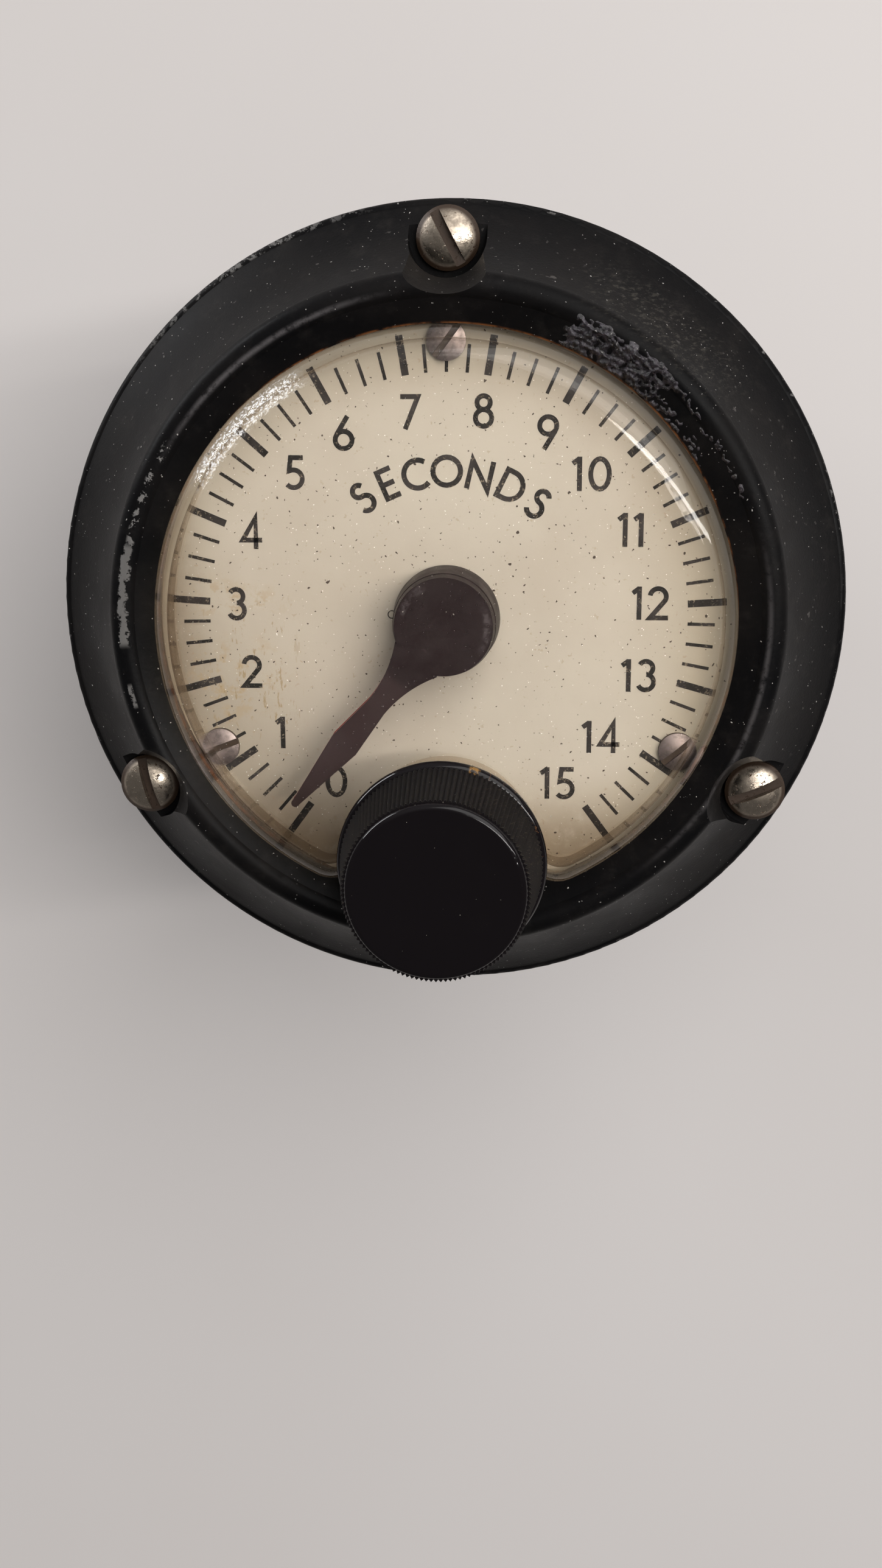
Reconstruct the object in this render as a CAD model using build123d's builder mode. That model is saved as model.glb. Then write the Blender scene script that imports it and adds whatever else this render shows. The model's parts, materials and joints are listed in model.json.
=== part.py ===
from build123d import *
from math import asin, atan2, cos, degrees, pi, radians, sin, sqrt, tan
import os

# Panel-mounted interval timer: round flush case, coaxial setting and progress pointers, setting knob.
# Millimetres. Origin on the dial axis in the plane of the flange's seating face (the panel's front).
# +Z comes out of the dial, +Y points to 12 o'clock, +X to 3 o'clock.

# ---- driving dimensions ----
FLANGE_R = 44.45          # 3.5 in round instrument flange
BOLT_R = 40.13            # 3.16 in bolt circle
BOLT_START = 90           # first of three mounting screws, at 12 o'clock
SCREW_R = 1.753           # No. 6 screw
SCREW_HOLE_R = 1.9
NECK_SHARE = 0.9             # a captive screw's neck over its shank
CASE_R = 35.2             # clears the 2.78 in panel cut-out
CASE_WALL = 1.05
REAR_Z = -74.0            # flat rear face
BORE_R = 33.0             # bore of the bezel, for the movement
SKIRT_R = 34.05
SKIRT_Z = -6.0

DIAL_Z = 8.2              # front face of the dial
DIAL_T = 0.8
PLATE_T = 2.0
GASKET_T = 1.0
WINDOW_FLANGE_T = 1.2
WINDOW_R = 31.2
WINDOW_TOP_Z = 17.6
WINDOW_WALL = 1.3
OPENING_GAP = 0.15

KNOB_Y = -25.0            # the knob's axis is at 6 o'clock
BOSS_R = 8.2
BOSS_TOP_Z = 18.0
KNOB_BOTTOM_Z = 18.4
KNOB_TOP_Z = 29.6
KNOB_SHAFT_R = 3.175      # quarter-inch shaft
RUNNING = 0.04            # radial clearance of a running fit

SECOND_ANGLE = 19.2       # dial degrees for one second
DIAL_SPAN = 15            # seconds on the dial
SET_SECONDS = 0.2         # where both pointers stand
ZERO_ANGLE = 90 + SECOND_ANGLE * DIAL_SPAN / 2
HAND_ANGLE = ZERO_ANGLE - SECOND_ANGLE * SET_SECONDS

PLATE_TOP_Z = DIAL_Z - DIAL_T
PLATE_Z = PLATE_TOP_Z - PLATE_T
GASKET_TOP_Z = DIAL_Z + GASKET_T
LIP_Z = GASKET_TOP_Z + WINDOW_FLANGE_T
REAR_PLATE_TOP_Z = -16.4
REAR_PLATE_Z = -18.0
REAR_PLATE_R = 32.0

PILLAR_R = 28.0
PLATE_PILLAR_ANGLES = (130, 225, 315)
CASE_PILLAR_ANGLES = (30, 150, 270)

SET_MODULE = 0.5
SET_TEETH = 32            # knob gear, idler and set gear
SET_GEAR_Z = -12.9
TRAIN_MODULE = 0.4
PINION_TEETH = 12
WHEEL_TEETH = 60
LAST_PINION_TEETH = 20
CLUTCH_TEETH = 75
ADDENDUM = 0.8
DEDENDUM = 1.1
TOOTH_SHARE = 0.44        # tooth's share of the pitch
TOOTH_TIP = 0.5           # tip width in modules

os.makedirs("parts", exist_ok=True)


# ---- helpers ----
def polar(radius, angle, centre=(0, 0)):
    """A point at a radius and an angle from a centre."""
    return (centre[0] + radius * cos(radians(angle)), centre[1] + radius * sin(radians(angle)))


def gear_points(teeth, module, centre, turn):
    """Outline of a straight-flanked spur gear with one tooth pointing along turn."""
    pitch_r = teeth * module / 2
    root_r = pitch_r - DEDENDUM * module
    tip_r = pitch_r + ADDENDUM * module
    half_pitch = TOOTH_SHARE * pi * module / 2
    half_root = half_pitch + DEDENDUM * module * tan(radians(20)) / 2
    corners = (
        (root_r, -degrees(asin(half_root / root_r))),
        (pitch_r, -degrees(half_pitch / pitch_r)),
        (tip_r, -degrees(TOOTH_TIP * module / 2 / tip_r)),
        (tip_r, degrees(TOOTH_TIP * module / 2 / tip_r)),
        (pitch_r, degrees(half_pitch / pitch_r)),
        (root_r, degrees(asin(half_root / root_r))),
    )
    points = []
    for tooth in range(teeth):
        for radius, swing in corners:
            points.append(polar(radius, turn + 360 * tooth / teeth + swing, centre))
    return points


def meshing_turn(centre, teeth, turn, next_centre, next_teeth):
    """Turn that puts the next gear's gaps over this gear's teeth."""
    line = degrees(atan2(next_centre[1] - centre[1], next_centre[0] - centre[0]))
    phase = (line - turn) * teeth / 360
    return line + 180 - (0.5 - phase) * 360 / next_teeth


def finish(part, label):
    """Label a part and write it as a STEP file."""
    part.label = label
    export_step(part, f"parts/{label}.step")


def spur_gear(label, teeth, module, centre, turn, base_z, thick, bore, hub_r, hub_low, hub_high):
    """A gear with a bored hub."""
    with BuildPart() as gear:
        with BuildSketch(Plane.XY.offset(base_z)):
            with BuildLine():
                Polyline(*gear_points(teeth, module, centre, turn), close=True)
            make_face()
        extrude(amount=thick)
        if hub_r > 0:
            with BuildSketch(Plane.XY.offset(hub_low)):
                with Locations(centre):
                    Circle(hub_r)
            extrude(amount=hub_high - hub_low)
        with BuildSketch(Plane.XY.offset(min(base_z, hub_low))):
            with Locations(centre):
                Circle(bore)
        extrude(amount=max(base_z + thick, hub_high) - min(base_z, hub_low), mode=Mode.SUBTRACT)
    finish(gear.part, label)


def pinion_arbor(label, teeth, centre, turn, base_z, thick, low_z, high_z):
    """A pinion cut in one piece with its arbor."""
    with BuildPart() as arbor:
        with BuildSketch(Plane.XY.offset(base_z)):
            with BuildLine():
                Polyline(*gear_points(teeth, TRAIN_MODULE, centre, turn), close=True)
            make_face()
        extrude(amount=thick)
        with BuildSketch(Plane.XY.offset(low_z)):
            with Locations(centre):
                Circle(ARBOR_R)
        extrude(amount=high_z - low_z)
    finish(arbor.part, label)


def rods(label, centres, radius, low_z, high_z):
    """Plain round rods standing between two heights, one at each centre."""
    with BuildPart() as group:
        with BuildSketch(Plane.XY.offset(low_z)):
            with Locations(*centres):
                Circle(radius)
        extrude(amount=high_z - low_z)
    finish(group.part, label)


def tubes(label, centres, outer_r, inner_r, low_z, high_z):
    """Bored bushings standing between two heights, one at each centre."""
    with BuildPart() as group:
        with BuildSketch(Plane.XY.offset(low_z)):
            with Locations(*centres):
                Circle(outer_r)
                Circle(inner_r, mode=Mode.SUBTRACT)
        extrude(amount=high_z - low_z)
    finish(group.part, label)


def slotted_screws(label, centres, slots, seat_z, way, head_r, rim_h, dome_h, shank_r, shank_len, neck=0):
    """Slotted round-headed screws; way is +1 when the heads face +Z and -1 when they face -Z.

    neck is the length under the head where the shank is thinner, as on a captive screw.
    """
    slot_w = head_r * 0.32
    slot_depth = (rim_h + dome_h) * 0.45
    height = rim_h + dome_h
    profile = [(0, -shank_len), (shank_r, -shank_len), (shank_r, -neck), (head_r, 0), (head_r, rim_h)]
    if neck:
        profile[3:3] = [(shank_r * NECK_SHARE, -neck), (shank_r * NECK_SHARE, 0)]
    with BuildPart() as group:
        for (x, y), slot in zip(centres, slots):
            with BuildSketch(Plane(origin=(x, y, seat_z), x_dir=(1, 0, 0), z_dir=(0, -way, 0))):
                with BuildLine():
                    Polyline(*profile)
                    ThreePointArc((head_r, rim_h), (head_r * 0.66, rim_h + dome_h * 0.62), (0, height))
                    Line((0, height), (0, -shank_len))
                make_face()
            revolve(axis=Axis((x, y, 0), (0, 0, 1)))
            top = seat_z + way * (height - slot_depth)
            with BuildSketch(Plane((x, y, top)).rotated((0, 0, slot))):
                Rectangle(head_r * 3, slot_w)
            extrude(amount=way * 2 * slot_depth, mode=Mode.SUBTRACT)
    finish(group.part, label)


# ---- places worked out from the driving dimensions ----
bolt_spots = [polar(BOLT_R, BOLT_START + 120 * i) for i in range(3)]
DIAL_SCREW_R = 29.56
DIAL_SCREW_HEAD_R = 2.1
dial_screw_spots = [polar(DIAL_SCREW_R, 90 + 120 * i) for i in range(3)]
plate_pillar_spots = [polar(PILLAR_R, angle) for angle in PLATE_PILLAR_ANGLES]
case_pillar_spots = [polar(PILLAR_R, angle) for angle in CASE_PILLAR_ANGLES]

knob_spot = (0, KNOB_Y)
idler_spot = (-sqrt((SET_TEETH * SET_MODULE) ** 2 - (KNOB_Y / 2) ** 2), KNOB_Y / 2)
second_spot = (TRAIN_MODULE * (LAST_PINION_TEETH + CLUTCH_TEETH) / 2, 0)
STAGE_DISTANCE = TRAIN_MODULE * (PINION_TEETH + WHEEL_TEETH) / 2
first_spot = polar(STAGE_DISTANCE, 110, second_spot)
motor_spot = polar(STAGE_DISTANCE, 180, first_spot)
ARBOR_R = 1.0
ARBOR_HOLE_R = ARBOR_R + RUNNING
SET_ARBOR_R = 1.2
TUBE_R = 2.0

# ---- bezel: die-cast flange, ridge, window lip, knob boss and the skirt behind the panel ----
RIM_Z = 1.2
SLOPE_FOOT = (43.75, 1.9)
SLOPE_HOLLOW = (39.8, 6.45)
SLOPE_HEAD = (36.8, 11.6)
RIDGE_TOP = (35.4, 12.75)
RIDGE_END = (33.9, 12.25)
LIP_TOP_Z = 11.0
LIP_CORNER_R = 4.1
SEAT_Z = 4.0
SEAT_R = 4.2
FUNNEL_Z = 8.2
FUNNEL_TAPER = -22
with BuildPart() as bezel:
    with BuildSketch(Plane.XZ):
        with BuildLine():
            Polyline((BORE_R, SKIRT_Z), (SKIRT_R, SKIRT_Z), (SKIRT_R, 0), (FLANGE_R, 0),
                     (FLANGE_R, RIM_Z))
            ThreePointArc((FLANGE_R, RIM_Z), (44.24, 1.7), SLOPE_FOOT)
            ThreePointArc(SLOPE_FOOT, SLOPE_HOLLOW, SLOPE_HEAD)
            ThreePointArc(SLOPE_HEAD, RIDGE_TOP, RIDGE_END)
            Polyline(RIDGE_END, (WINDOW_R, LIP_TOP_Z), (WINDOW_R, LIP_Z), (BORE_R, LIP_Z),
                     (BORE_R, SKIRT_Z))
        make_face()
    revolve(axis=Axis.Z)
    with BuildSketch(Plane.XY.offset(LIP_Z)):
        Circle(BORE_R + 0.5)
    extrude(amount=LIP_TOP_Z - LIP_Z)
    with BuildSketch(Plane.XY.offset(LIP_Z)) as opening:
        Circle(WINDOW_R + OPENING_GAP)
        with Locations(knob_spot):
            Circle(BOSS_R - 0.1, mode=Mode.SUBTRACT)
        fillet(opening.vertices(), LIP_CORNER_R)
    extrude(amount=2 * RIDGE_TOP[1], mode=Mode.SUBTRACT)
    with BuildSketch(Plane.XY.offset(PLATE_TOP_Z)):
        with Locations(knob_spot):
            Circle(BOSS_R)
    extrude(amount=BOSS_TOP_Z - PLATE_TOP_Z)
    with BuildSketch(Plane.XY.offset(SEAT_Z)):
        with PolarLocations(BOLT_R, 3, start_angle=BOLT_START):
            Circle(SEAT_R)
            Rectangle(2 * SEAT_R, 2 * SEAT_R, align=(Align.MIN, Align.CENTER))
    extrude(amount=RIDGE_TOP[1], mode=Mode.SUBTRACT)
    with BuildSketch(Plane.XY.offset(FUNNEL_Z)):
        with PolarLocations(BOLT_R, 3, start_angle=BOLT_START):
            Circle(SEAT_R)
    extrude(amount=RIDGE_TOP[1] - FUNNEL_Z + 0.3, taper=FUNNEL_TAPER, mode=Mode.SUBTRACT)
    with BuildSketch():
        with PolarLocations(BOLT_R, 3, start_angle=BOLT_START):
            Circle(SCREW_HOLE_R)
    extrude(amount=SEAT_Z, mode=Mode.SUBTRACT)
    with BuildSketch(Plane.XY.offset(PLATE_TOP_Z)):
        with Locations(knob_spot):
            Circle(4.8)
    extrude(amount=BOSS_TOP_Z - PLATE_TOP_Z, mode=Mode.SUBTRACT)
finish(bezel.part, "bezel")

slotted_screws("mounting_screws", bolt_spots, (-62, -76, 22), SEAT_Z, 1, 3.4, 1.0, 1.3, SCREW_R, 17.0,
               neck=SEAT_Z)

# ---- window: clear moulded dome with a notch round the knob boss, held by its flange ----
NOTCH_R = BOSS_R + 0.35
SHOULDER_R = 3.6
with BuildPart() as window:
    with BuildSketch(Plane.XY.offset(GASKET_TOP_Z)) as dome:
        Circle(WINDOW_R)
        with Locations(knob_spot):
            Circle(NOTCH_R, mode=Mode.SUBTRACT)
        fillet(dome.vertices(), 3.9)
    extrude(amount=WINDOW_TOP_Z - GASKET_TOP_Z)
    fillet(window.edges().group_by(Axis.Z)[-1], SHOULDER_R)
    with BuildSketch(Plane.XY.offset(GASKET_TOP_Z)) as flange:
        Circle(BORE_R - 0.2)
        with Locations(knob_spot):
            Circle(NOTCH_R, mode=Mode.SUBTRACT)
        fillet(flange.vertices(), 2.0)
    extrude(amount=WINDOW_FLANGE_T)
    with BuildPart(mode=Mode.PRIVATE) as hollow:
        with BuildSketch(Plane.XY.offset(GASKET_TOP_Z)) as inner:
            Circle(WINDOW_R - WINDOW_WALL)
            with Locations(knob_spot):
                Circle(NOTCH_R + WINDOW_WALL, mode=Mode.SUBTRACT)
            fillet(inner.vertices(), 3.0)
        extrude(amount=WINDOW_TOP_Z - WINDOW_WALL - GASKET_TOP_Z)
        fillet(hollow.edges().group_by(Axis.Z)[-1], SHOULDER_R - 1.2)
    add(hollow.part, mode=Mode.SUBTRACT)
finish(window.part, "window")

with BuildPart() as window_gasket:
    with BuildSketch(Plane.XY.offset(DIAL_Z)):
        Circle(BORE_R - 0.15)
        Circle(31.75, mode=Mode.SUBTRACT)
        with Locations(knob_spot):
            Circle(NOTCH_R, mode=Mode.SUBTRACT)
    extrude(amount=GASKET_T)
finish(window_gasket.part, "window_gasket")

# ---- dial and the front plate of the movement ----
BUSHING_R = 3.5
with BuildPart() as dial_plate:
    with BuildSketch(Plane.XY.offset(PLATE_TOP_Z)):
        Circle(BORE_R - 0.15)
        Circle(BUSHING_R, mode=Mode.SUBTRACT)
        with Locations(knob_spot):
            Circle(BOSS_R + 0.3, mode=Mode.SUBTRACT)
        with Locations(*dial_screw_spots):
            Circle(ARBOR_R, mode=Mode.SUBTRACT)
    extrude(amount=DIAL_T)
finish(dial_plate.part, "dial_plate")

DIAL_SCREW_SHANK_R = 0.9
slotted_screws("dial_screws", dial_screw_spots, (52, 20, 40), DIAL_Z, 1, DIAL_SCREW_HEAD_R, 0.6, 0.3,
               DIAL_SCREW_SHANK_R, 2.4)

PILLAR_SPIGOT_R = 1.2
IDLER_PIN_R = 1.0
SPIRAL_ANGLE = 36
STUD_SPOT = polar(9.53, SPIRAL_ANGLE + 180)
STUD_R = 0.7
with BuildPart() as front_plate:
    with BuildSketch(Plane.XY.offset(PLATE_Z)):
        Circle(BORE_R - 0.1)
        Circle(BUSHING_R, mode=Mode.SUBTRACT)
        with Locations(knob_spot):
            Circle(KNOB_SHAFT_R + 0.15, mode=Mode.SUBTRACT)
        with Locations(first_spot, second_spot):
            Circle(ARBOR_HOLE_R, mode=Mode.SUBTRACT)
        with Locations(*plate_pillar_spots):
            Circle(PILLAR_SPIGOT_R, mode=Mode.SUBTRACT)
        with Locations(*dial_screw_spots):
            Circle(DIAL_SCREW_SHANK_R, mode=Mode.SUBTRACT)
        with Locations(STUD_SPOT):
            Circle(STUD_R, mode=Mode.SUBTRACT)
    extrude(amount=PLATE_T)
finish(front_plate.part, "front_plate")

RETAINER_T = 1.8
with BuildPart() as retaining_ring:
    with BuildSketch(Plane.XY.offset(PLATE_Z - RETAINER_T)):
        Circle(BORE_R - 0.05)
        Circle(30.6, mode=Mode.SUBTRACT)
        with PolarLocations(30.6, 2):
            Rectangle(2.4, 2.0, mode=Mode.SUBTRACT)
    extrude(amount=RETAINER_T)
finish(retaining_ring.part, "retaining_ring")

tubes("front_bushing", [(0, 0)], BUSHING_R, TUBE_R + RUNNING, PLATE_Z - 0.8, DIAL_Z + 0.6)
tubes("knob_bushing", [knob_spot], 4.8, KNOB_SHAFT_R + RUNNING, PLATE_TOP_Z, BOSS_TOP_Z)

# ---- plates, pillars and bushings behind the front plate ----
with BuildPart() as plate_pillars:
    for low, high, radius in ((REAR_PLATE_TOP_Z, PLATE_Z, 2.0), (PLATE_Z, PLATE_TOP_Z, PILLAR_SPIGOT_R)):
        with BuildSketch(Plane.XY.offset(low)):
            with Locations(*plate_pillar_spots):
                Circle(radius)
        extrude(amount=high - low)
    with BuildSketch(Plane.XY.offset(REAR_PLATE_TOP_Z)):
        with Locations(*plate_pillar_spots):
            Circle(ARBOR_R)
    extrude(amount=5, mode=Mode.SUBTRACT)
finish(plate_pillars.part, "plate_pillars")

MOTOR_SCREW_CIRCLE = 15.0
motor_screw_spots = [polar(MOTOR_SCREW_CIRCLE, 60 + 120 * i, motor_spot) for i in range(3)]
CENTRE_PIVOT_R = 3.0
KNOB_PIVOT_R = 1.5
with BuildPart() as rear_plate:
    with BuildSketch(Plane.XY.offset(REAR_PLATE_Z)):
        Circle(REAR_PLATE_R)
        with Locations((0, 0), knob_spot, motor_spot):
            Circle(CENTRE_PIVOT_R, mode=Mode.SUBTRACT)
        with Locations(first_spot, second_spot):
            Circle(ARBOR_HOLE_R, mode=Mode.SUBTRACT)
        with Locations(idler_spot):
            Circle(IDLER_PIN_R, mode=Mode.SUBTRACT)
        with Locations(*plate_pillar_spots, *case_pillar_spots, *motor_screw_spots):
            Circle(ARBOR_R, mode=Mode.SUBTRACT)
    extrude(amount=REAR_PLATE_TOP_Z - REAR_PLATE_Z)
finish(rear_plate.part, "rear_plate")

slotted_screws("rear_plate_screws", plate_pillar_spots, (15, 70, 120), REAR_PLATE_Z, -1,
               2.0, 0.7, 0.7, ARBOR_R, 5.5)
with BuildPart() as pivot_bushings:
    with BuildSketch(Plane.XY.offset(REAR_PLATE_Z)):
        for spot, pivot_r in (((0, 0), SET_ARBOR_R), (knob_spot, KNOB_PIVOT_R)):
            with Locations(spot):
                Circle(CENTRE_PIVOT_R)
                Circle(pivot_r + RUNNING, mode=Mode.SUBTRACT)
    extrude(amount=REAR_PLATE_TOP_Z - REAR_PLATE_Z + 0.4)
finish(pivot_bushings.part, "pivot_bushings")

# ---- pointers and what turns with them ----
RED_HUB_Z = DIAL_Z + 0.8
RED_TOP_Z = 13.4
RED_BLADE_T = 0.5
DARK_HUB_Z = 13.8
DARK_TOP_Z = DIAL_Z + 6.9
DARK_BLADE_T = 1.0
hand_side = ((4.6, 2.9), (8.0, 1.55), (11.4, 1.15), (16.9, 1.64), (25.3, 0.42))
HAND_TIP = 25.9


def pointer(label, hub_r, hub_z, top_z, hub_taper, blade_t, bore, bore_top):
    """A hub with a leaf-shaped blade level with its front face."""
    with BuildPart() as hand:
        with BuildSketch(Plane.XY.offset(hub_z)):
            Circle(hub_r)
        extrude(amount=top_z - hub_z, taper=hub_taper)
        with BuildSketch(Plane.XY.offset(top_z - blade_t).rotated((0, 0, HAND_ANGLE))):
            with BuildLine():
                for side in (1, -1):
                    root, waist, neck, belly, point = [(x, side * y) for x, y in hand_side]
                    ThreePointArc(root, waist, neck)
                    Polyline(neck, belly, point)
                (root_x, root_y), (point_x, point_y) = hand_side[0], hand_side[-1]
                Line((root_x, root_y), (root_x, -root_y))
                ThreePointArc((point_x, point_y), (HAND_TIP, 0), (point_x, -point_y))
            make_face()
        extrude(amount=blade_t)
        with BuildSketch(Plane.XY.offset(hub_z)):
            Circle(bore)
        extrude(amount=bore_top - hub_z, mode=Mode.SUBTRACT)
    finish(hand.part, label)


pointer("set_pointer", 5.5, DARK_HUB_Z, DARK_TOP_Z, 9, DARK_BLADE_T, SET_ARBOR_R, DARK_TOP_Z - 0.5)
pointer("progress_pointer", 5.88, RED_HUB_Z, RED_TOP_Z, 4, RED_BLADE_T, TUBE_R, RED_TOP_Z)

TUBE_LOW_Z = -8.6
CLUTCH_GEAR_Z = -7.4
CLUTCH_GEAR_T = 1.2
rods("set_arbor", [(0, 0)], SET_ARBOR_R, REAR_PLATE_Z + 0.3, DARK_TOP_Z - 0.5)
tubes("progress_tube", [(0, 0)], TUBE_R, SET_ARBOR_R + RUNNING, TUBE_LOW_Z, RED_TOP_Z)
tubes("tube_clip", [(0, 0)], 3.2, TUBE_R, TUBE_LOW_Z, CLUTCH_GEAR_Z - 0.3)

TRIP_Z = 2.2
TRIP_T = 1.2
TRIP_LENGTH = 17.0
TRIP_WIDTH = 3.0
TRIP_ANGLE = 180 - SECOND_ANGLE * SET_SECONDS
with BuildPart() as trip_arm:
    with BuildSketch(Plane.XY.offset(TRIP_Z).rotated((0, 0, TRIP_ANGLE))):
        Circle(4.0)
        Rectangle(TRIP_LENGTH, TRIP_WIDTH, align=(Align.MIN, Align.CENTER))
        Circle(TUBE_R, mode=Mode.SUBTRACT)
    extrude(amount=TRIP_T)
finish(trip_arm.part, "trip_arm")

# Spiral hairspring made of half turns about two alternating centres, with its collet and stud.
SPIRAL_Z = -0.5
SPIRAL_T = 1.0
SPIRAL_WIDTH = 0.25
SPIRAL_START_R = 3.6
SPIRAL_STEP = 0.6
SPIRAL_HALF_TURNS = 10
with BuildPart() as hairspring:
    with BuildSketch(Plane.XY.offset(SPIRAL_Z).rotated((0, 0, SPIRAL_ANGLE))):
        with BuildLine() as coil:
            for half in range(SPIRAL_HALF_TURNS):
                side = 1 if half % 2 == 0 else -1
                radius = SPIRAL_START_R + SPIRAL_STEP * half
                middle = -side * SPIRAL_STEP / 2
                start = (middle - side * radius, 0)
                end = (middle + side * radius, 0)
                ThreePointArc(start, (middle, side * radius), end)
        trace(line_width=SPIRAL_WIDTH)
    extrude(amount=SPIRAL_T)
finish(hairspring.part, "hairspring")
tubes("hairspring_collet", [(0, 0)], 3.1, TUBE_R, SPIRAL_Z - 0.2, SPIRAL_Z + SPIRAL_T + 0.2)
rods("hairspring_stud", [STUD_SPOT], STUD_R, SPIRAL_Z, PLATE_TOP_Z)

CLUTCH_PLATE_Z = -5.4
CLUTCH_HUB_TOP_Z = -3.3
with BuildPart() as clutch_plate:
    for high, radius in ((CLUTCH_PLATE_Z + 1.0, 8.0), (CLUTCH_HUB_TOP_Z, 4.4)):
        with BuildSketch(Plane.XY.offset(CLUTCH_PLATE_Z)):
            Circle(radius)
            Circle(TUBE_R + RUNNING, mode=Mode.SUBTRACT)
        extrude(amount=high - CLUTCH_PLATE_Z)
finish(clutch_plate.part, "clutch_plate")

# ---- setting gears: knob gear, idler and set gear ----
knob_turn = 0
idler_turn = meshing_turn(knob_spot, SET_TEETH, knob_turn, idler_spot, SET_TEETH)
set_turn = meshing_turn(idler_spot, SET_TEETH, idler_turn, (0, 0), SET_TEETH)
SET_GEAR_T = 1.2
HUB_TOP_Z = SET_GEAR_Z + 2.0
spur_gear("knob_gear", SET_TEETH, SET_MODULE, knob_spot, knob_turn, SET_GEAR_Z, SET_GEAR_T,
          KNOB_SHAFT_R, 5.0, SET_GEAR_Z, HUB_TOP_Z)
spur_gear("idler_gear", SET_TEETH, SET_MODULE, idler_spot, idler_turn, SET_GEAR_Z, SET_GEAR_T,
          IDLER_PIN_R + RUNNING, 2.6, SET_GEAR_Z - 0.8, HUB_TOP_Z)
spur_gear("set_gear", SET_TEETH, SET_MODULE, (0, 0), set_turn, SET_GEAR_Z, SET_GEAR_T,
          SET_ARBOR_R, 3.0, SET_GEAR_Z, HUB_TOP_Z)
rods("idler_pin", [idler_spot], IDLER_PIN_R, REAR_PLATE_Z, HUB_TOP_Z + 0.6)

# ---- reduction train from the motor to the clutch gear ----
FIRST_GEAR_Z = -14.8
FIRST_PINION_Z = -11.3
SECOND_GEAR_Z = -10.8
SECOND_PINION_Z = -7.9
WHEEL_T = 1.0
ARBOR_LOW_Z = REAR_PLATE_Z + 0.2
ARBOR_TOP_Z = PLATE_TOP_Z - 0.2
rotor_turn = 0
first_turn = meshing_turn(motor_spot, PINION_TEETH, rotor_turn, first_spot, WHEEL_TEETH)
second_turn = meshing_turn(first_spot, PINION_TEETH, 0, second_spot, WHEEL_TEETH)
clutch_turn = meshing_turn(second_spot, LAST_PINION_TEETH, 0, (0, 0), CLUTCH_TEETH)
spur_gear("first_gear", WHEEL_TEETH, TRAIN_MODULE, first_spot, first_turn, FIRST_GEAR_Z, WHEEL_T,
          ARBOR_R, 1.9, FIRST_GEAR_Z, FIRST_GEAR_Z + 2.2)
pinion_arbor("first_pinion", PINION_TEETH, first_spot, 0, FIRST_PINION_Z, 2.0,
             ARBOR_LOW_Z, ARBOR_TOP_Z)
spur_gear("second_gear", WHEEL_TEETH, TRAIN_MODULE, second_spot, second_turn, SECOND_GEAR_Z, WHEEL_T,
          ARBOR_R, 2.2, SECOND_GEAR_Z, SECOND_PINION_Z)
pinion_arbor("second_pinion", LAST_PINION_TEETH, second_spot, 0, SECOND_PINION_Z, 2.2,
             ARBOR_LOW_Z, ARBOR_TOP_Z)
spur_gear("clutch_gear", CLUTCH_TEETH, TRAIN_MODULE, (0, 0), clutch_turn, CLUTCH_GEAR_Z, CLUTCH_GEAR_T,
          TUBE_R + RUNNING, 0, CLUTCH_GEAR_Z, CLUTCH_GEAR_Z)

# ---- synchronous motor: top plate, field cup, coil, rotor with its pinion ----
MOTOR_R = 17.0
MOTOR_PLATE_T = 1.6
MOTOR_PLATE_Z = REAR_PLATE_Z - MOTOR_PLATE_T
MOTOR_REAR_Z = -41.0
MOTOR_WALL = 1.2
COIL_LOW_Z = -37.0
COIL_HIGH_Z = -22.0
PINION_Z = -15.7
with BuildPart() as motor_plate:
    with BuildSketch(Plane.XY.offset(MOTOR_PLATE_Z)):
        with Locations(motor_spot):
            Circle(MOTOR_R)
            Circle(CENTRE_PIVOT_R, mode=Mode.SUBTRACT)
        with Locations(*motor_screw_spots):
            Circle(ARBOR_R, mode=Mode.SUBTRACT)
    extrude(amount=MOTOR_PLATE_T)
finish(motor_plate.part, "motor_plate")

with BuildPart() as motor_cup:
    with BuildSketch(Plane.XY.offset(MOTOR_REAR_Z)):
        with Locations(motor_spot):
            Circle(MOTOR_R)
    extrude(amount=MOTOR_PLATE_Z - MOTOR_REAR_Z)
    fillet(motor_cup.edges().group_by(Axis.Z)[0], 0.8)
    with BuildSketch(Plane.XY.offset(MOTOR_REAR_Z + MOTOR_WALL)):
        with Locations(motor_spot):
            Circle(MOTOR_R - MOTOR_WALL)
    extrude(amount=MOTOR_PLATE_Z - MOTOR_REAR_Z, mode=Mode.SUBTRACT)
    with BuildSketch(Plane.XY.offset(MOTOR_REAR_Z)):
        with Locations(motor_spot):
            Circle(CENTRE_PIVOT_R)
    extrude(amount=MOTOR_WALL, mode=Mode.SUBTRACT)
finish(motor_cup.part, "motor_cup")

with BuildPart() as motor_bearings:
    for low, high in ((MOTOR_PLATE_Z, REAR_PLATE_TOP_Z), (MOTOR_REAR_Z, MOTOR_REAR_Z + 2.4)):
        with BuildSketch(Plane.XY.offset(low)):
            with Locations(motor_spot):
                Circle(CENTRE_PIVOT_R)
                Circle(ARBOR_HOLE_R, mode=Mode.SUBTRACT)
        extrude(amount=high - low)
finish(motor_bearings.part, "motor_bearings")
tubes("motor_coil", [motor_spot], 15.4, 10.4, COIL_LOW_Z, COIL_HIGH_Z)
slotted_screws("motor_screws", motor_screw_spots, (0, 45, 100), REAR_PLATE_TOP_Z, 1,
               1.8, 0.4, 0.5, ARBOR_R, 3.2)

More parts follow.
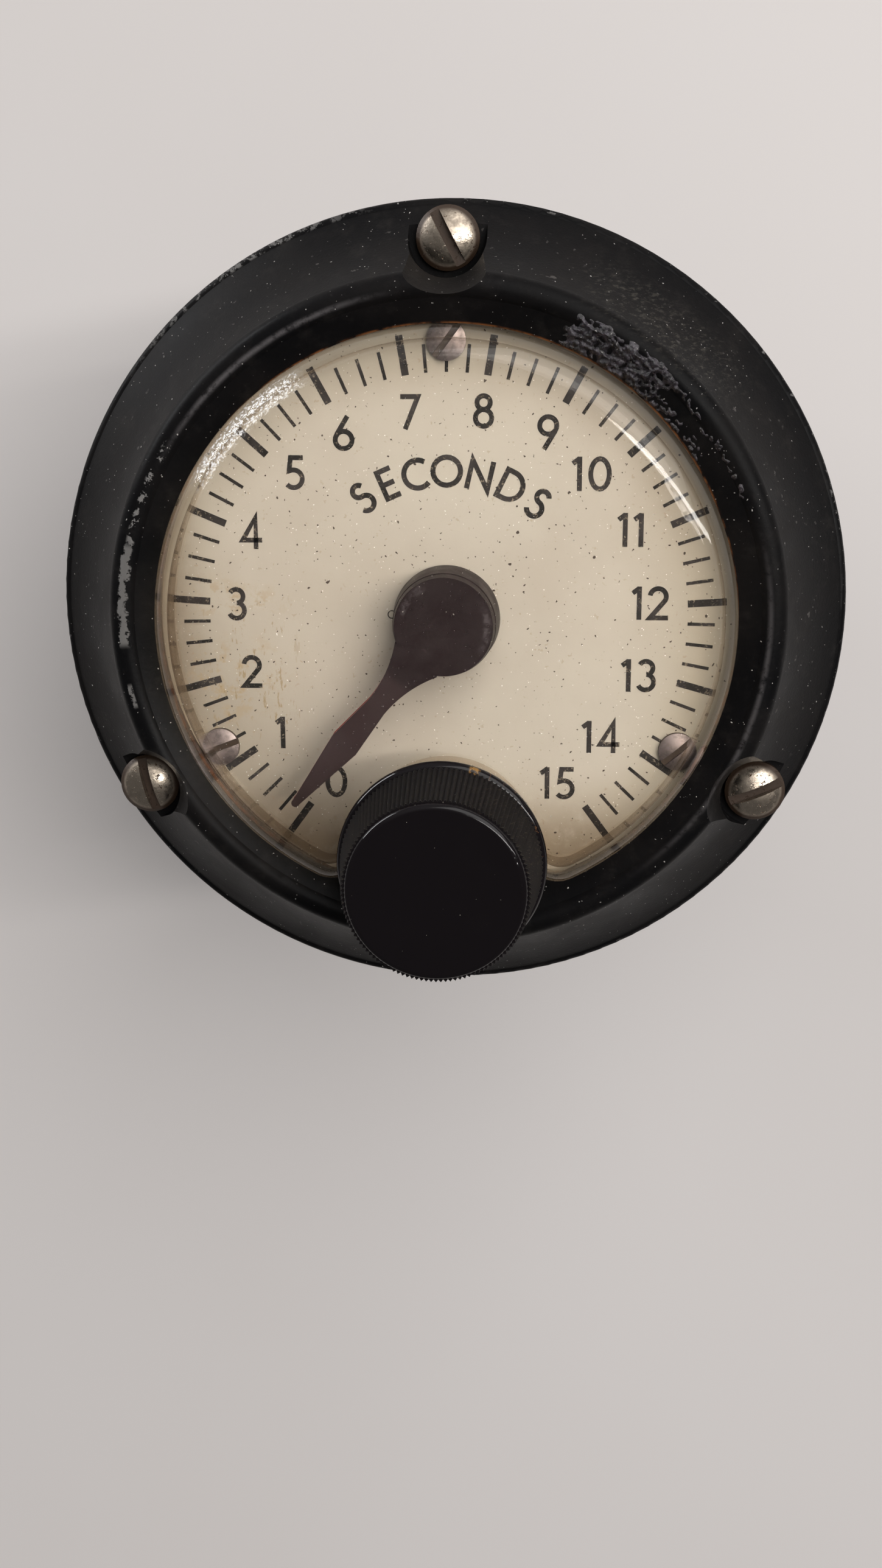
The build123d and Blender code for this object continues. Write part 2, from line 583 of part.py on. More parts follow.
ROTOR_R = 9.4
ROTOR_LOW_Z = -36.0
ROTOR_T = 12.0
ROTOR_DISH = 4.0
with BuildPart() as rotor:
    with BuildSketch(Plane.XY.offset(ROTOR_LOW_Z)):
        with Locations(motor_spot):
            Circle(ROTOR_R)
            Circle(ARBOR_R, mode=Mode.SUBTRACT)
    extrude(amount=ROTOR_T)
    for low in (ROTOR_LOW_Z, ROTOR_LOW_Z + ROTOR_T - ROTOR_DISH):
        with BuildSketch(Plane.XY.offset(low)):
            with Locations(motor_spot):
                Circle(ROTOR_R - 2.4)
                Circle(2.6, mode=Mode.SUBTRACT)
        extrude(amount=ROTOR_DISH, mode=Mode.SUBTRACT)
finish(rotor.part, "rotor")
pinion_arbor("rotor_shaft", PINION_TEETH, motor_spot, rotor_turn, PINION_Z, 2.2,
             MOTOR_REAR_Z + 0.2, PINION_Z + 2.3)

# ---- clutch solenoid: yoke, core, coil and the forked armature, on a line out from the dial axis ----
CLUTCH_ANGLE = 155
CORE_X = 23.0
HINGE_X = 30.0
HINGE_Z = -2.6
LEVER_Z = -3.0
LEVER_T = 0.8
LEVER_HALF = 3.6
clutch_base = Plane.XY.rotated((0, 0, CLUTCH_ANGLE))
with BuildPart() as clutch_yoke:
    with BuildSketch(clutch_base.offset(REAR_PLATE_TOP_Z)):
        with Locations((18.4, 0)):
            Rectangle(14.0, 7.4, align=(Align.MIN, Align.CENTER))
    extrude(amount=1.2)
    with BuildSketch(clutch_base.offset(REAR_PLATE_TOP_Z)):
        with Locations((HINGE_X + 1.4, 0)):
            Rectangle(1.0, 7.4, align=(Align.MIN, Align.CENTER))
    extrude(amount=14.6)
    with BuildSketch(clutch_base.offset(-6.0)):
        with Locations((HINGE_X - 1.2, 3.2), (HINGE_X - 1.2, -3.2)):
            Rectangle(3.0, 1.0, align=(Align.MIN, Align.CENTER))
    extrude(amount=4.2)
    with BuildSketch(Plane(origin=clutch_base.from_local_coords((HINGE_X, -5, HINGE_Z)),
                           z_dir=clutch_base.y_dir)):
        Circle(0.7)
    extrude(amount=10, mode=Mode.SUBTRACT)
finish(clutch_yoke.part, "clutch_yoke")

core_spot = polar(CORE_X, CLUTCH_ANGLE)
rods("clutch_core", [core_spot], 2.2, REAR_PLATE_TOP_Z + 1.2, LEVER_Z - 0.3)
tubes("clutch_coil", [core_spot], 4.6, 2.2, REAR_PLATE_TOP_Z + 1.2, LEVER_Z - 1.0)

with BuildPart() as clutch_armature:
    with BuildSketch(clutch_base.offset(LEVER_Z)):
        with Locations((4.0, 0)):
            Rectangle(HINGE_X - 4.0, 5.2, align=(Align.MIN, Align.CENTER))
        with Locations((5.0, 0)):
            Rectangle(2.0, 2 * LEVER_HALF, align=(Align.MIN, Align.CENTER))
        with Locations((-2.5, 2.95), (-2.5, -2.95)):
            Rectangle(9.5, 1.3, align=(Align.MIN, Align.CENTER))
    extrude(amount=LEVER_T)
    with BuildSketch(Plane(origin=clutch_base.from_local_coords((HINGE_X, -2.6, HINGE_Z)),
                           z_dir=clutch_base.y_dir)):
        Circle(1.1)
    extrude(amount=5.2)
    with BuildSketch(Plane(origin=clutch_base.from_local_coords((HINGE_X, -2.6, HINGE_Z)),
                           z_dir=clutch_base.y_dir)):
        Circle(0.7 + RUNNING)
    extrude(amount=5.2, mode=Mode.SUBTRACT)
finish(clutch_armature.part, "clutch_armature")

with BuildPart() as armature_pin:
    with BuildSketch(Plane(origin=clutch_base.from_local_coords((HINGE_X, -4.2, HINGE_Z)),
                           z_dir=clutch_base.y_dir)):
        Circle(0.7)
    extrude(amount=8.4)
finish(armature_pin.part, "armature_pin")

SPRING_X = 20.0
SPRING_R = 1.3
SPRING_WIRE_R = 0.2
SPRING_LOW_Z = LEVER_Z + LEVER_T + SPRING_WIRE_R
SPRING_HIGH_Z = PLATE_Z - SPRING_WIRE_R
spring_spot = polar(SPRING_X, CLUTCH_ANGLE)
with BuildPart() as armature_spring:
    with BuildLine():
        Helix(pitch=0.9, height=SPRING_HIGH_Z - SPRING_LOW_Z, radius=SPRING_R,
              center=(spring_spot[0], spring_spot[1], SPRING_LOW_Z))
    wire_start = (spring_spot[0] + SPRING_R, spring_spot[1], SPRING_LOW_Z)
    with BuildSketch(Plane(origin=wire_start, z_dir=(0, 1, 0))):
        Circle(SPRING_WIRE_R)
    sweep()
finish(armature_spring.part, "armature_spring")

# ---- snap switch under the front plate, tripped at zero seconds ----
SWITCH_X = (-24.4, -10.4)
SWITCH_Y = (-13.5, -3.3)
SWITCH_LOW_Z = -1.0
PLUNGER_X = -14.5
PLUNGER_R = 1.0
PLUNGER_TOP_Y = -TRIP_WIDTH / 2 - 0.2
PLUNGER_Z = TRIP_Z + TRIP_T / 2
switch_centre = (sum(SWITCH_X) / 2, sum(SWITCH_Y) / 2)
switch_screw_spots = [(SWITCH_X[0] + 2.4, SWITCH_Y[0] + 2.4), (SWITCH_X[1] - 2.4, SWITCH_Y[0] + 2.4)]
with BuildPart() as switch_body:
    with BuildSketch(Plane.XY.offset(SWITCH_LOW_Z)):
        with Locations(switch_centre):
            RectangleRounded(SWITCH_X[1] - SWITCH_X[0], SWITCH_Y[1] - SWITCH_Y[0], 0.6)
        with Locations(*switch_screw_spots):
            Circle(1.1, mode=Mode.SUBTRACT)
    extrude(amount=PLATE_Z - SWITCH_LOW_Z)
    with BuildSketch(Plane(origin=(PLUNGER_X, SWITCH_Y[1] - 3.4, PLUNGER_Z), z_dir=(0, 1, 0))):
        Circle(PLUNGER_R + RUNNING)
    extrude(amount=4, mode=Mode.SUBTRACT)
finish(switch_body.part, "switch_body")

with BuildPart() as switch_plunger:
    with BuildSketch(Plane(origin=(PLUNGER_X, SWITCH_Y[1] - 2.2, PLUNGER_Z), z_dir=(0, 1, 0))):
        Circle(PLUNGER_R)
    extrude(amount=PLUNGER_TOP_Y - SWITCH_Y[1] + 2.2)
    fillet(switch_plunger.edges().group_by(Axis.Y)[-1], 0.3)
finish(switch_plunger.part, "switch_plunger")

with BuildPart() as switch_tabs:
    with BuildSketch(Plane.XZ.offset(-SWITCH_Y[0])):
        with Locations(*[(SWITCH_X[0] + x, PLUNGER_Z) for x in (6.2, 9.2, 12.2)]):
            Rectangle(0.5, 3.2)
    extrude(amount=3.4)
finish(switch_tabs.part, "switch_tabs")
slotted_screws("switch_screws", switch_screw_spots, (30, 75), SWITCH_LOW_Z, -1, 1.8, 0.5, 0.6, 1.1, 6.2)

# ---- knob, its set screw and its shaft ----
SKIRT_BEAD_R = 11.36
BEAD_ROOT_R = 10.7
BEAD_TOP_Z = 19.8
SERRATIONS = 120
LOW_SERRATION = (BEAD_TOP_Z, 10.95)
HIGH_SERRATION = (29.05, 9.8)
SERRATION_DEPTH = 0.3
FACE_R = 9.35


def serration_points(radius):
    """Zigzag circle about the knob's axis."""
    points = []
    for step in range(2 * SERRATIONS):
        depth = SERRATION_DEPTH if step % 2 else 0
        points.append(polar(radius - depth, 180 * step / SERRATIONS, knob_spot))
    return points


SET_SCREW_Z = 24.0
SET_SCREW_R = 1.25
with BuildPart() as knob:
    for height, radius in (LOW_SERRATION, HIGH_SERRATION):
        with BuildSketch(Plane.XY.offset(height)):
            with BuildLine():
                Polyline(*serration_points(radius), close=True)
            make_face()
    loft(ruled=True)
    with BuildSketch(Plane(origin=(0, KNOB_Y, 0), x_dir=(1, 0, 0), z_dir=(0, -1, 0))):
        with BuildLine():
            Polyline((0, KNOB_BOTTOM_Z), (BEAD_ROOT_R, KNOB_BOTTOM_Z))
            ThreePointArc((BEAD_ROOT_R, KNOB_BOTTOM_Z), (SKIRT_BEAD_R, 19.05), (BEAD_ROOT_R, BEAD_TOP_Z))
            Polyline((BEAD_ROOT_R, BEAD_TOP_Z), (0, BEAD_TOP_Z), (0, KNOB_BOTTOM_Z))
        make_face()
        with BuildLine():
            Polyline((0, HIGH_SERRATION[0]), (FACE_R + 0.1, HIGH_SERRATION[0]))
            ThreePointArc((FACE_R + 0.1, HIGH_SERRATION[0]), (FACE_R - 0.1, 29.42),
                          (FACE_R - 0.55, KNOB_TOP_Z))
            Polyline((FACE_R - 0.55, KNOB_TOP_Z), (0, KNOB_TOP_Z), (0, HIGH_SERRATION[0]))
        make_face()
    revolve(axis=Axis((0, KNOB_Y, 0), (0, 0, 1)))
    with BuildSketch(Plane.XY.offset(KNOB_BOTTOM_Z)):
        with Locations(knob_spot):
            Circle(KNOB_SHAFT_R)
    extrude(amount=8.1, mode=Mode.SUBTRACT)
    with BuildSketch(Plane(origin=(0, KNOB_Y, SET_SCREW_Z), x_dir=(1, 0, 0), z_dir=(0, -1, 0))):
        Circle(SET_SCREW_R)
    extrude(amount=12, mode=Mode.SUBTRACT)
finish(knob.part, "knob")

with BuildPart() as knob_set_screw:
    with BuildSketch(Plane(origin=(0, KNOB_Y - 2.7, SET_SCREW_Z), x_dir=(1, 0, 0), z_dir=(0, -1, 0))):
        Circle(SET_SCREW_R)
    extrude(amount=5.3)
    with BuildSketch(Plane(origin=(0, KNOB_Y - 7.2, SET_SCREW_Z), x_dir=(1, 0, 0), z_dir=(0, -1, 0))):
        Rectangle(0.5, 3)
    extrude(amount=2, mode=Mode.SUBTRACT)
finish(knob_set_screw.part, "knob_set_screw")

SHAFT_FLAT = 2.7
SHAFT_TOP_Z = KNOB_BOTTOM_Z + 8.1
with BuildPart() as knob_shaft:
    with BuildSketch(Plane.XY.offset(-14.6)):
        with Locations(knob_spot):
            Circle(KNOB_SHAFT_R)
    extrude(amount=SHAFT_TOP_Z + 14.6)
    with BuildSketch(Plane.XY.offset(KNOB_BOTTOM_Z + 1.5)):
        with Locations((0, KNOB_Y - SHAFT_FLAT)):
            Rectangle(7, 2, align=(Align.CENTER, Align.MAX))
    extrude(amount=8, mode=Mode.SUBTRACT)
    with BuildSketch(Plane.XY.offset(REAR_PLATE_Z + 0.2)):
        with Locations(knob_spot):
            Circle(KNOB_PIVOT_R)
    extrude(amount=-14.6 - REAR_PLATE_Z - 0.2)
finish(knob_shaft.part, "knob_shaft")

# ---- rear: case can, its pillars and flush screws, terminal block ----
REAR_WALL = 1.6
CASE_FRONT_Z = -0.4
BAY = (36.0, 20.0)
BAY_DEPTH = 8.0
BLOCK_WALL = 2.0
REAR_INNER_Z = REAR_Z + REAR_WALL
case_screw_head_r = 2.4
rivet_spots = [(-22.0, 0), (22.0, 0)]
RIVET_R = 1.2
with BuildPart() as case_can:
    with BuildSketch(Plane.XY.offset(REAR_Z)):
        Circle(CASE_R)
    extrude(amount=CASE_FRONT_Z - REAR_Z)
    fillet(case_can.edges().group_by(Axis.Z)[0], 1.5)
    with BuildSketch(Plane.XY.offset(REAR_INNER_Z)):
        Circle(CASE_R - CASE_WALL)
    extrude(amount=-REAR_Z, mode=Mode.SUBTRACT)
    with BuildSketch(Plane.XY.offset(REAR_Z)):
        RectangleRounded(BAY[0], BAY[1], 1.5)
        with Locations(*case_pillar_spots):
            Circle(ARBOR_R)
        with Locations(*rivet_spots):
            Circle(RIVET_R)
    extrude(amount=REAR_WALL, mode=Mode.SUBTRACT)
    with BuildSketch(Plane.XY.offset(REAR_Z)):
        with Locations(*case_pillar_spots):
            Circle(case_screw_head_r)
    extrude(amount=case_screw_head_r - ARBOR_R, taper=45, mode=Mode.SUBTRACT)
finish(case_can.part, "case_can")

with BuildPart() as case_pillars:
    with BuildSketch(Plane.XY.offset(REAR_INNER_Z)):
        with Locations(*case_pillar_spots):
            RegularPolygon(2.6, 6)
            Circle(ARBOR_R, mode=Mode.SUBTRACT)
    extrude(amount=REAR_PLATE_Z - REAR_INNER_Z)
finish(case_pillars.part, "case_pillars")

with BuildPart() as case_screws:
    with BuildSketch(Plane.XY.offset(REAR_Z + 0.1)):
        with Locations(*case_pillar_spots):
            Circle(case_screw_head_r - 0.1)
    extrude(amount=case_screw_head_r - ARBOR_R - 0.1, taper=45)
    with BuildSketch(Plane.XY.offset(REAR_Z + 0.1)):
        with Locations(*case_pillar_spots):
            Circle(ARBOR_R)
    extrude(amount=8)
    with BuildSketch(Plane.XY.offset(REAR_Z)):
        with PolarLocations(PILLAR_R, 3, start_angle=CASE_PILLAR_ANGLES[0]):
            Rectangle(6, 0.8)
    extrude(amount=0.7, mode=Mode.SUBTRACT)
finish(case_screws.part, "case_screws")

BLOCK = (BAY[0] + 2 * BLOCK_WALL, BAY[1] + 2 * BLOCK_WALL)
BAY_TOP_Z = REAR_INNER_Z + BAY_DEPTH
LUG_T = 0.6
LUG_HOLE_R = 1.4
TERMINAL_PITCH = 12.0
TERMINAL_ROW = 5.0
terminal_spots = [(TERMINAL_PITCH * i, TERMINAL_ROW * j) for j in (-1, 1) for i in (-1, 0, 1)]
with BuildPart() as terminal_block:
    with BuildSketch(Plane.XY.offset(REAR_INNER_Z)):
        RectangleRounded(BLOCK[0], BLOCK[1], 1.5)
    extrude(amount=BAY_DEPTH + 3.0)
    with BuildSketch(Plane.XY.offset(REAR_INNER_Z)):
        Rectangle(BLOCK[0] + 9, 8)
    extrude(amount=1.6)
    with BuildSketch(Plane.XY.offset(REAR_INNER_Z)):
        RectangleRounded(BAY[0], BAY[1], 1.5)
        with Locations((-TERMINAL_PITCH / 2, 0), (TERMINAL_PITCH / 2, 0)):
            Rectangle(1.4, BAY[1], mode=Mode.SUBTRACT)
    extrude(amount=BAY_DEPTH, mode=Mode.SUBTRACT)
    with BuildSketch(Plane.XY.offset(REAR_INNER_Z)):
        RectangleRounded(BAY[0], BAY[1], 1.5)
    extrude(amount=BAY_DEPTH - 3.6, mode=Mode.SUBTRACT)
    with BuildSketch(Plane.XY.offset(REAR_INNER_Z)):
        with Locations(*rivet_spots):
            Circle(RIVET_R, mode=Mode.ADD)
    extrude(amount=1.6, mode=Mode.SUBTRACT)
    with BuildSketch(Plane.XY.offset(BAY_TOP_Z)):
        with Locations(*terminal_spots):
            Circle(LUG_HOLE_R)
    extrude(amount=3, mode=Mode.SUBTRACT)
finish(terminal_block.part, "terminal_block")

with BuildPart() as terminal_lugs:
    with BuildSketch(Plane.XY.offset(BAY_TOP_Z - LUG_T)):
        with Locations(*terminal_spots):
            RectangleRounded(7, 7, 0.8)
            Circle(LUG_HOLE_R, mode=Mode.SUBTRACT)
    extrude(amount=LUG_T)
finish(terminal_lugs.part, "terminal_lugs")
slotted_screws("terminal_screws", terminal_spots, (10, 80, 35, 120, 60, 150), BAY_TOP_Z - LUG_T, -1,
               2.7, 0.8, 0.6, LUG_HOLE_R, 4.0)

with BuildPart() as block_rivets:
    with BuildSketch(Plane.XY.offset(REAR_Z)):
        with Locations(*rivet_spots):
            Circle(RIVET_R)
    extrude(amount=REAR_WALL + 1.6)
    with BuildSketch(Plane.XY.offset(REAR_INNER_Z + 1.6)):
        with Locations(*rivet_spots):
            Circle(1.9)
    extrude(amount=0.8)
finish(block_rivets.part, "block_rivets")
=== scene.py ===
import json
import math

import bmesh
import bpy
from mathutils import Matrix, Vector, noise
from mathutils.bvhtree import BVHTree


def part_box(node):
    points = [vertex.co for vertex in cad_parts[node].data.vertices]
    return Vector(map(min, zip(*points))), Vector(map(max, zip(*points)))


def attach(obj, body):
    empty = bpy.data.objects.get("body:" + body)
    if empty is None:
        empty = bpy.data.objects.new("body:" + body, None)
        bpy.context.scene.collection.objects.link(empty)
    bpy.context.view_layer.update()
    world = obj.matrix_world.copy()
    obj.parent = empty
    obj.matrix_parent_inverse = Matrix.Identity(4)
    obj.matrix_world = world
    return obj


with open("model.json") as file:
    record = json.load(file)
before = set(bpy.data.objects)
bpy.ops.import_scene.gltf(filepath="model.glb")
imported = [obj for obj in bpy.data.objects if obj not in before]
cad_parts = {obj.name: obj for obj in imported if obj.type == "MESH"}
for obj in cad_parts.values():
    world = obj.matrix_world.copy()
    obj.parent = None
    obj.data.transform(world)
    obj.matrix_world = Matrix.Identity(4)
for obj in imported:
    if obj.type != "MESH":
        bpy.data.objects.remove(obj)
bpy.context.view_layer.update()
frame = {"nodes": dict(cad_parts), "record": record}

MM = 0.001

# ---- places that the CAD model fixes, in mm: origin on the dial axis, +Z out of the dial ----
DIAL_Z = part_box("dial_plate")[1].z / MM
FLOOR_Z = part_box("case_can")[0].z
KNOB_CENTRE = (0.0, -25.0)
WINDOW_R = 31.2
RIDGE_R = 35.4
FLANGE_R = 44.45
WALL_FOOT_Z = 10.3
SHOULDER_Z = 17.6
SERRATION_Z = (19.9, 29.0)
BLADE_START_R = (7.2, 8.5)  # the hands' round hub ends and the blade starts
SCREW_SLOT_Z = (5.25, 5.7)
DIAL_SCREW_SLOT_Z = (8.70, 8.82)
SET_POINTER_TOP_Z = 15.1
PROGRESS_POINTER_TOP_Z = 13.4
WINDOW_BODY_IOR = 1.004     # low, so that the moulded wall stays quiet; the skin reflects like acrylic

# ---- the dial's print, in mm ----
SECOND_ANGLE = 19.2
SECONDS = 15
TICK_INNER_R = 26.33
MAJOR_OUTER_R = 30.5
MINOR_OUTER_R = 29.3
MAJOR_WIDTH = 0.78
MINOR_WIDTH = 0.36
FIGURE_SPOTS = (            # radius in mm, and degrees clockwise from the figure's own tick
    (22.6, -2.1), (22.9, -0.3), (22.7, -0.3), (23.3, -0.2),
    (23.4, 0.5), (22.8, 1.6), (22.8, -0.4), (22.5, -0.4),
    (22.6, 0.5), (22.8, -0.3), (22.1, -3.0), (22.2, -3.0),
    (22.3, -0.8), (22.1, 1.0), (21.7, 3.0), (22.4, 2.4),
)
FIGURE_STROKE = 0.53
FIGURE_HEIGHT = 3.65
LETTER_ANGLES = (-35.0, -23.7, -12.3, 0.0, 13.1, 26.2, 38.4)
LETTER_STROKE = 0.56
LETTER_R = 15.9
LETTER_HEIGHT = 3.4
STOP_MARK_SPOT = (-6.1, 0.3)
STOP_MARK_R = 0.42
STOP_MARK_STROKE = 0.12
INK_T = 0.02
INK_SINK = 0.01             # the print starts this far inside the dial
INK_STEP = 0.003            # and crossing strokes differ by this much in height


# ======== materials ========
class Look:
    """One Principled material. Its patterns are laid out in the part's own millimetres."""

    def __init__(self, name, colour, roughness, metallic=0.0):
        self.material = bpy.data.materials.new(name)
        self.material.use_nodes = True
        self.nodes = self.material.node_tree.nodes
        self.links = self.material.node_tree.links
        self.shader = self.nodes["Principled BSDF"]
        self.set("Base Color", (*colour, 1))
        self.set("Roughness", roughness)
        self.set("Metallic", metallic)
        place = self.node("ShaderNodeTexCoord")
        scale = self.node("ShaderNodeVectorMath", operation="SCALE")
        scale.inputs["Scale"].default_value = 1 / MM
        self.links.new(place.outputs["Object"], scale.inputs[0])
        self.mm = scale.outputs[0]
        split = self.node("ShaderNodeSeparateXYZ")
        self.links.new(self.mm, split.inputs[0])
        self.x, self.y, self.z = split.outputs

    def node(self, kind, **settings):
        made = self.nodes.new(kind)
        for key, value in settings.items():
            setattr(made, key, value)
        return made

    def feed(self, socket, value):
        """A number, a colour or another node's output goes into socket."""
        if isinstance(value, bpy.types.NodeSocket):
            self.links.new(value, socket)
        elif socket.type == "RGBA" and len(value) == 3:
            socket.default_value = (*value, 1)
        else:
            socket.default_value = value

    def set(self, name, value):
        self.feed(self.shader.inputs[name], value)

    def sum(self, operation, a, b=0.0, c=0.0):
        made = self.node("ShaderNodeMath", operation=operation)
        for socket, value in zip(made.inputs, (a, b, c)):
            self.feed(socket, value)
        return made.outputs[0]

    def times(self, *values):
        total = values[0]
        for value in values[1:]:
            total = self.sum("MULTIPLY", total, value)
        return total

    def noise(self, scale, detail=3.0, rough=0.55, stretch=(1, 1, 1), shift=0.0):
        """Noise from 0 to 1, with about scale lumps in a millimetre."""
        place = self.node("ShaderNodeMapping")
        self.links.new(self.mm, place.inputs["Vector"])
        place.inputs["Scale"].default_value = stretch
        place.inputs["Location"].default_value = (shift, shift, shift)
        made = self.node("ShaderNodeTexNoise")
        self.links.new(place.outputs[0], made.inputs["Vector"])
        made.inputs["Scale"].default_value = scale
        made.inputs["Detail"].default_value = detail
        made.inputs["Roughness"].default_value = rough
        return made.outputs["Fac"]

    def step(self, value, low, high, start=0.0, end=1.0):
        """Goes smoothly from start to end as value goes from low to high."""
        made = self.node("ShaderNodeMapRange", interpolation_type="SMOOTHSTEP")
        for socket, number in zip(made.inputs, (value, low, high, start, end)):
            self.feed(socket, number)
        return made.outputs[0]

    def band(self, value, low, high, soft):
        """1 between low and high, 0 outside, with soft edges."""
        rise = self.step(value, low - soft, low + soft)
        fall = self.step(value, high - soft, high + soft, 1.0, 0.0)
        return self.sum("MULTIPLY", rise, fall)

    def polar(self, centre=(0.0, 0.0)):
        """Distance in mm from a centre, and the direction in degrees."""
        x = self.sum("SUBTRACT", self.x, centre[0])
        y = self.sum("SUBTRACT", self.y, centre[1])
        across = self.sum("MULTIPLY", x, x)
        radius = self.sum("SQRT", self.sum("MULTIPLY_ADD", y, y, across))
        return radius, self.sum("MULTIPLY", self.sum("ARCTAN2", y, x), 180 / math.pi)

    def mix(self, share, a, b):
        made = self.node("ShaderNodeMix", data_type="RGBA")
        self.feed(made.inputs[0], share)
        self.feed(made.inputs[6], a)
        self.feed(made.inputs[7], b)
        return made.outputs[2]

    def specks(self, colour, paint, scale, shift, low, high):
        """Sprinkles paint over colour in dots, more of them as low and high go down."""
        dots = self.step(self.noise(scale, 1.0, 0.5, shift=shift), low, high)
        return self.mix(dots, colour, paint)

    def larger(self, a, b):
        return self.sum("MAXIMUM", a, b)

    def bump(self, height, depth, under=None):
        """Raises the surface by height times depth in mm. under is a bump below this one."""
        made = self.node("ShaderNodeBump")
        made.inputs["Distance"].default_value = depth * MM
        self.links.new(height, made.inputs["Height"])
        if under is not None:
            self.links.new(under, made.inputs["Normal"])
        self.links.new(made.outputs[0], self.shader.inputs["Normal"])
        return made.outputs[0]


def grained(name, colour, dark, roughness, metallic=0.0, scale=0.9, depth=0.02, stretch=(1, 1, 1)):
    """A material with cloudy colour, cloudy gloss and a fine grain."""
    look = Look(name, colour, roughness, metallic)
    cloud = look.noise(scale * 0.35, 4)
    grain = look.noise(scale * 4, 4, 0.65, stretch)
    look.set("Base Color", look.mix(look.step(cloud, 0.35, 0.7), dark, colour))
    look.set("Roughness", look.step(grain, 0.3, 0.7, roughness * 0.8, min(1, roughness * 1.25)))
    look.bump(grain, depth)
    return look


def bezel_look():
    """Satin black paint with chips, dust, scuffs, a dirty window edge and a painted highlight along the
    ridge's crest.
    """
    look = Look("black_paint", (0.01, 0.01, 0.01), 0.4)
    radius, angle = look.polar()
    grain = look.noise(3.0, 6, 0.6)
    cloud = look.noise(0.11, 4)
    chip = look.noise(0.8, 5, 0.7, shift=3.0)
    colour = look.mix(look.step(cloud, 0.35, 0.7), (0.0045, 0.0045, 0.005), (0.0085, 0.0077, 0.0077))
    film = look.times(look.step(look.noise(0.35, 6, 0.7), 0.5, 0.75), 0.5)
    colour = look.mix(film, colour, (0.020, 0.018, 0.017))

    slope = look.band(radius, 36.8, 41.5, 1.2)
    streak = look.step(look.noise(1.1, 6, 0.75, (1.0, 2.6, 1.0), 8.0), 0.50, 0.66)
    scuffed = look.times(look.band(angle, 40, 66, 7), look.band(radius, 36.4, 41.0, 1.6), streak)
    colour = look.mix(look.times(scuffed, 0.8), colour, (0.060, 0.055, 0.047))
    scuff = look.times(look.step(look.noise(0.9, 3, 0.6, shift=8.0), 0.66, 0.72), slope)
    colour = look.mix(look.times(scuff, 0.5), colour, (0.13, 0.12, 0.115))
    colour = look.specks(colour, (0.50, 0.48, 0.46), 3.2, 5.0, 0.765, 0.79)

    # Painted highlight: a light line along the ridge's crest at the upper left and on the right, broken up
    # by noise like worn paint.
    crown = look.band(radius, RIDGE_R - 0.8, RIDGE_R - 0.45, 0.3)
    upper_left = look.band(angle, 106, 143, 10)
    right_side = look.times(look.band(angle, -42, 8, 14), 0.6)
    crest_highlight = look.times(crown, look.larger(upper_left, right_side), look.step(chip, 0.30, 0.56))
    colour = look.mix(look.times(crest_highlight, 0.7), colour, (0.17, 0.16, 0.165))

    ridge_chip = look.times(
        look.band(radius, RIDGE_R - 0.85, RIDGE_R - 0.05, 0.2),
        look.band(angle, 147, 166, 3),
        look.step(chip, 0.555, 0.575),
    )
    rim_chip = look.times(
        look.step(radius, FLANGE_R - 0.75, FLANGE_R - 0.45),
        look.band(angle, 106, 138, 8),
        look.step(look.noise(1.0, 5, 0.75, shift=11.0), 0.50, 0.56),
    )
    rim_nick = look.times(
        look.step(radius, FLANGE_R - 0.5, FLANGE_R - 0.2),
        look.step(look.noise(0.9, 4, 0.7, shift=21.0), 0.62, 0.66),
    )
    at_nine = look.larger(look.step(angle, 165.5, 167), look.step(angle, -175, -176.5))
    low_nick = look.times(look.band(angle, -168.5, -164.5, 0.5), look.step(radius, 35.05, 35.2))
    ragged = look.sum("MULTIPLY_ADD", look.noise(0.75, 5, 0.7, shift=33.0), 2.6, radius)
    long_chip = look.times(
        look.band(ragged, RIDGE_R + 0.55, RIDGE_R + 1.45, 0.1),
        look.band(radius, RIDGE_R - 1.0, RIDGE_R + 0.3, 0.08),
        look.larger(at_nine, low_nick),
        look.step(chip, 0.38, 0.42),
    )
    small_chip = look.times(look.larger(rim_chip, rim_nick), 0.4)
    bare = look.larger(ridge_chip, look.larger(small_chip, look.times(long_chip, 0.45)))
    colour = look.mix(bare, colour, (0.34, 0.33, 0.32))

    window_edge = look.times(
        look.band(radius, WINDOW_R - 0.4, WINDOW_R + 0.26, 0.14), look.step(look.y, -27, -22)
    )
    grime = look.times(window_edge, look.step(look.noise(0.5, 5, 0.7, shift=14.0), 0.36, 0.6))
    colour = look.mix(grime, colour, (0.22, 0.085, 0.03))
    look.set("Base Color", colour)
    look.set("Specular IOR Level", 0.07)
    look.set("Metallic", look.times(ridge_chip, 0.85))
    inner_band = look.step(radius, RIDGE_R, RIDGE_R - 1.2)
    gloss = look.step(inner_band, 0, 1, 0.34, 0.30)
    worn_gloss = look.sum("MULTIPLY_ADD", look.step(cloud, 0.3, 0.7), 0.12, gloss)
    look.set("Roughness", look.larger(worn_gloss, look.times(grime, 0.8)))
    under = look.bump(grain, 0.02)
    look.bump(bare, -0.06, under)
    return look


def crust_look():
    """Lifted, crumpled paint: grey-purple folds with sharp glints, and pale crumbs that also serve as
    painted glints.
    """
    look = Look("lifted_paint", (0.05, 0.045, 0.055), 0.3)
    tint = look.step(look.noise(1.3, 5, 0.7), 0.40, 0.66)
    colour = look.mix(tint, (0.009, 0.008, 0.009), (0.060, 0.052, 0.064))
    # Pale crumbs of the lifted paint, light enough to be painted glints as well.
    crumb = look.step(look.noise(4.0, 2, 0.6, shift=3.0), 0.66, 0.72)
    look.set("Base Color", look.mix(crumb, colour, (0.30, 0.28, 0.27)))
    look.set("Roughness", look.step(look.noise(0.9, 3), 0.35, 0.65, 0.12, 0.38))
    look.set("Specular IOR Level", 0.75)
    look.bump(look.noise(3.4, 5, 0.7), 0.12)
    return look


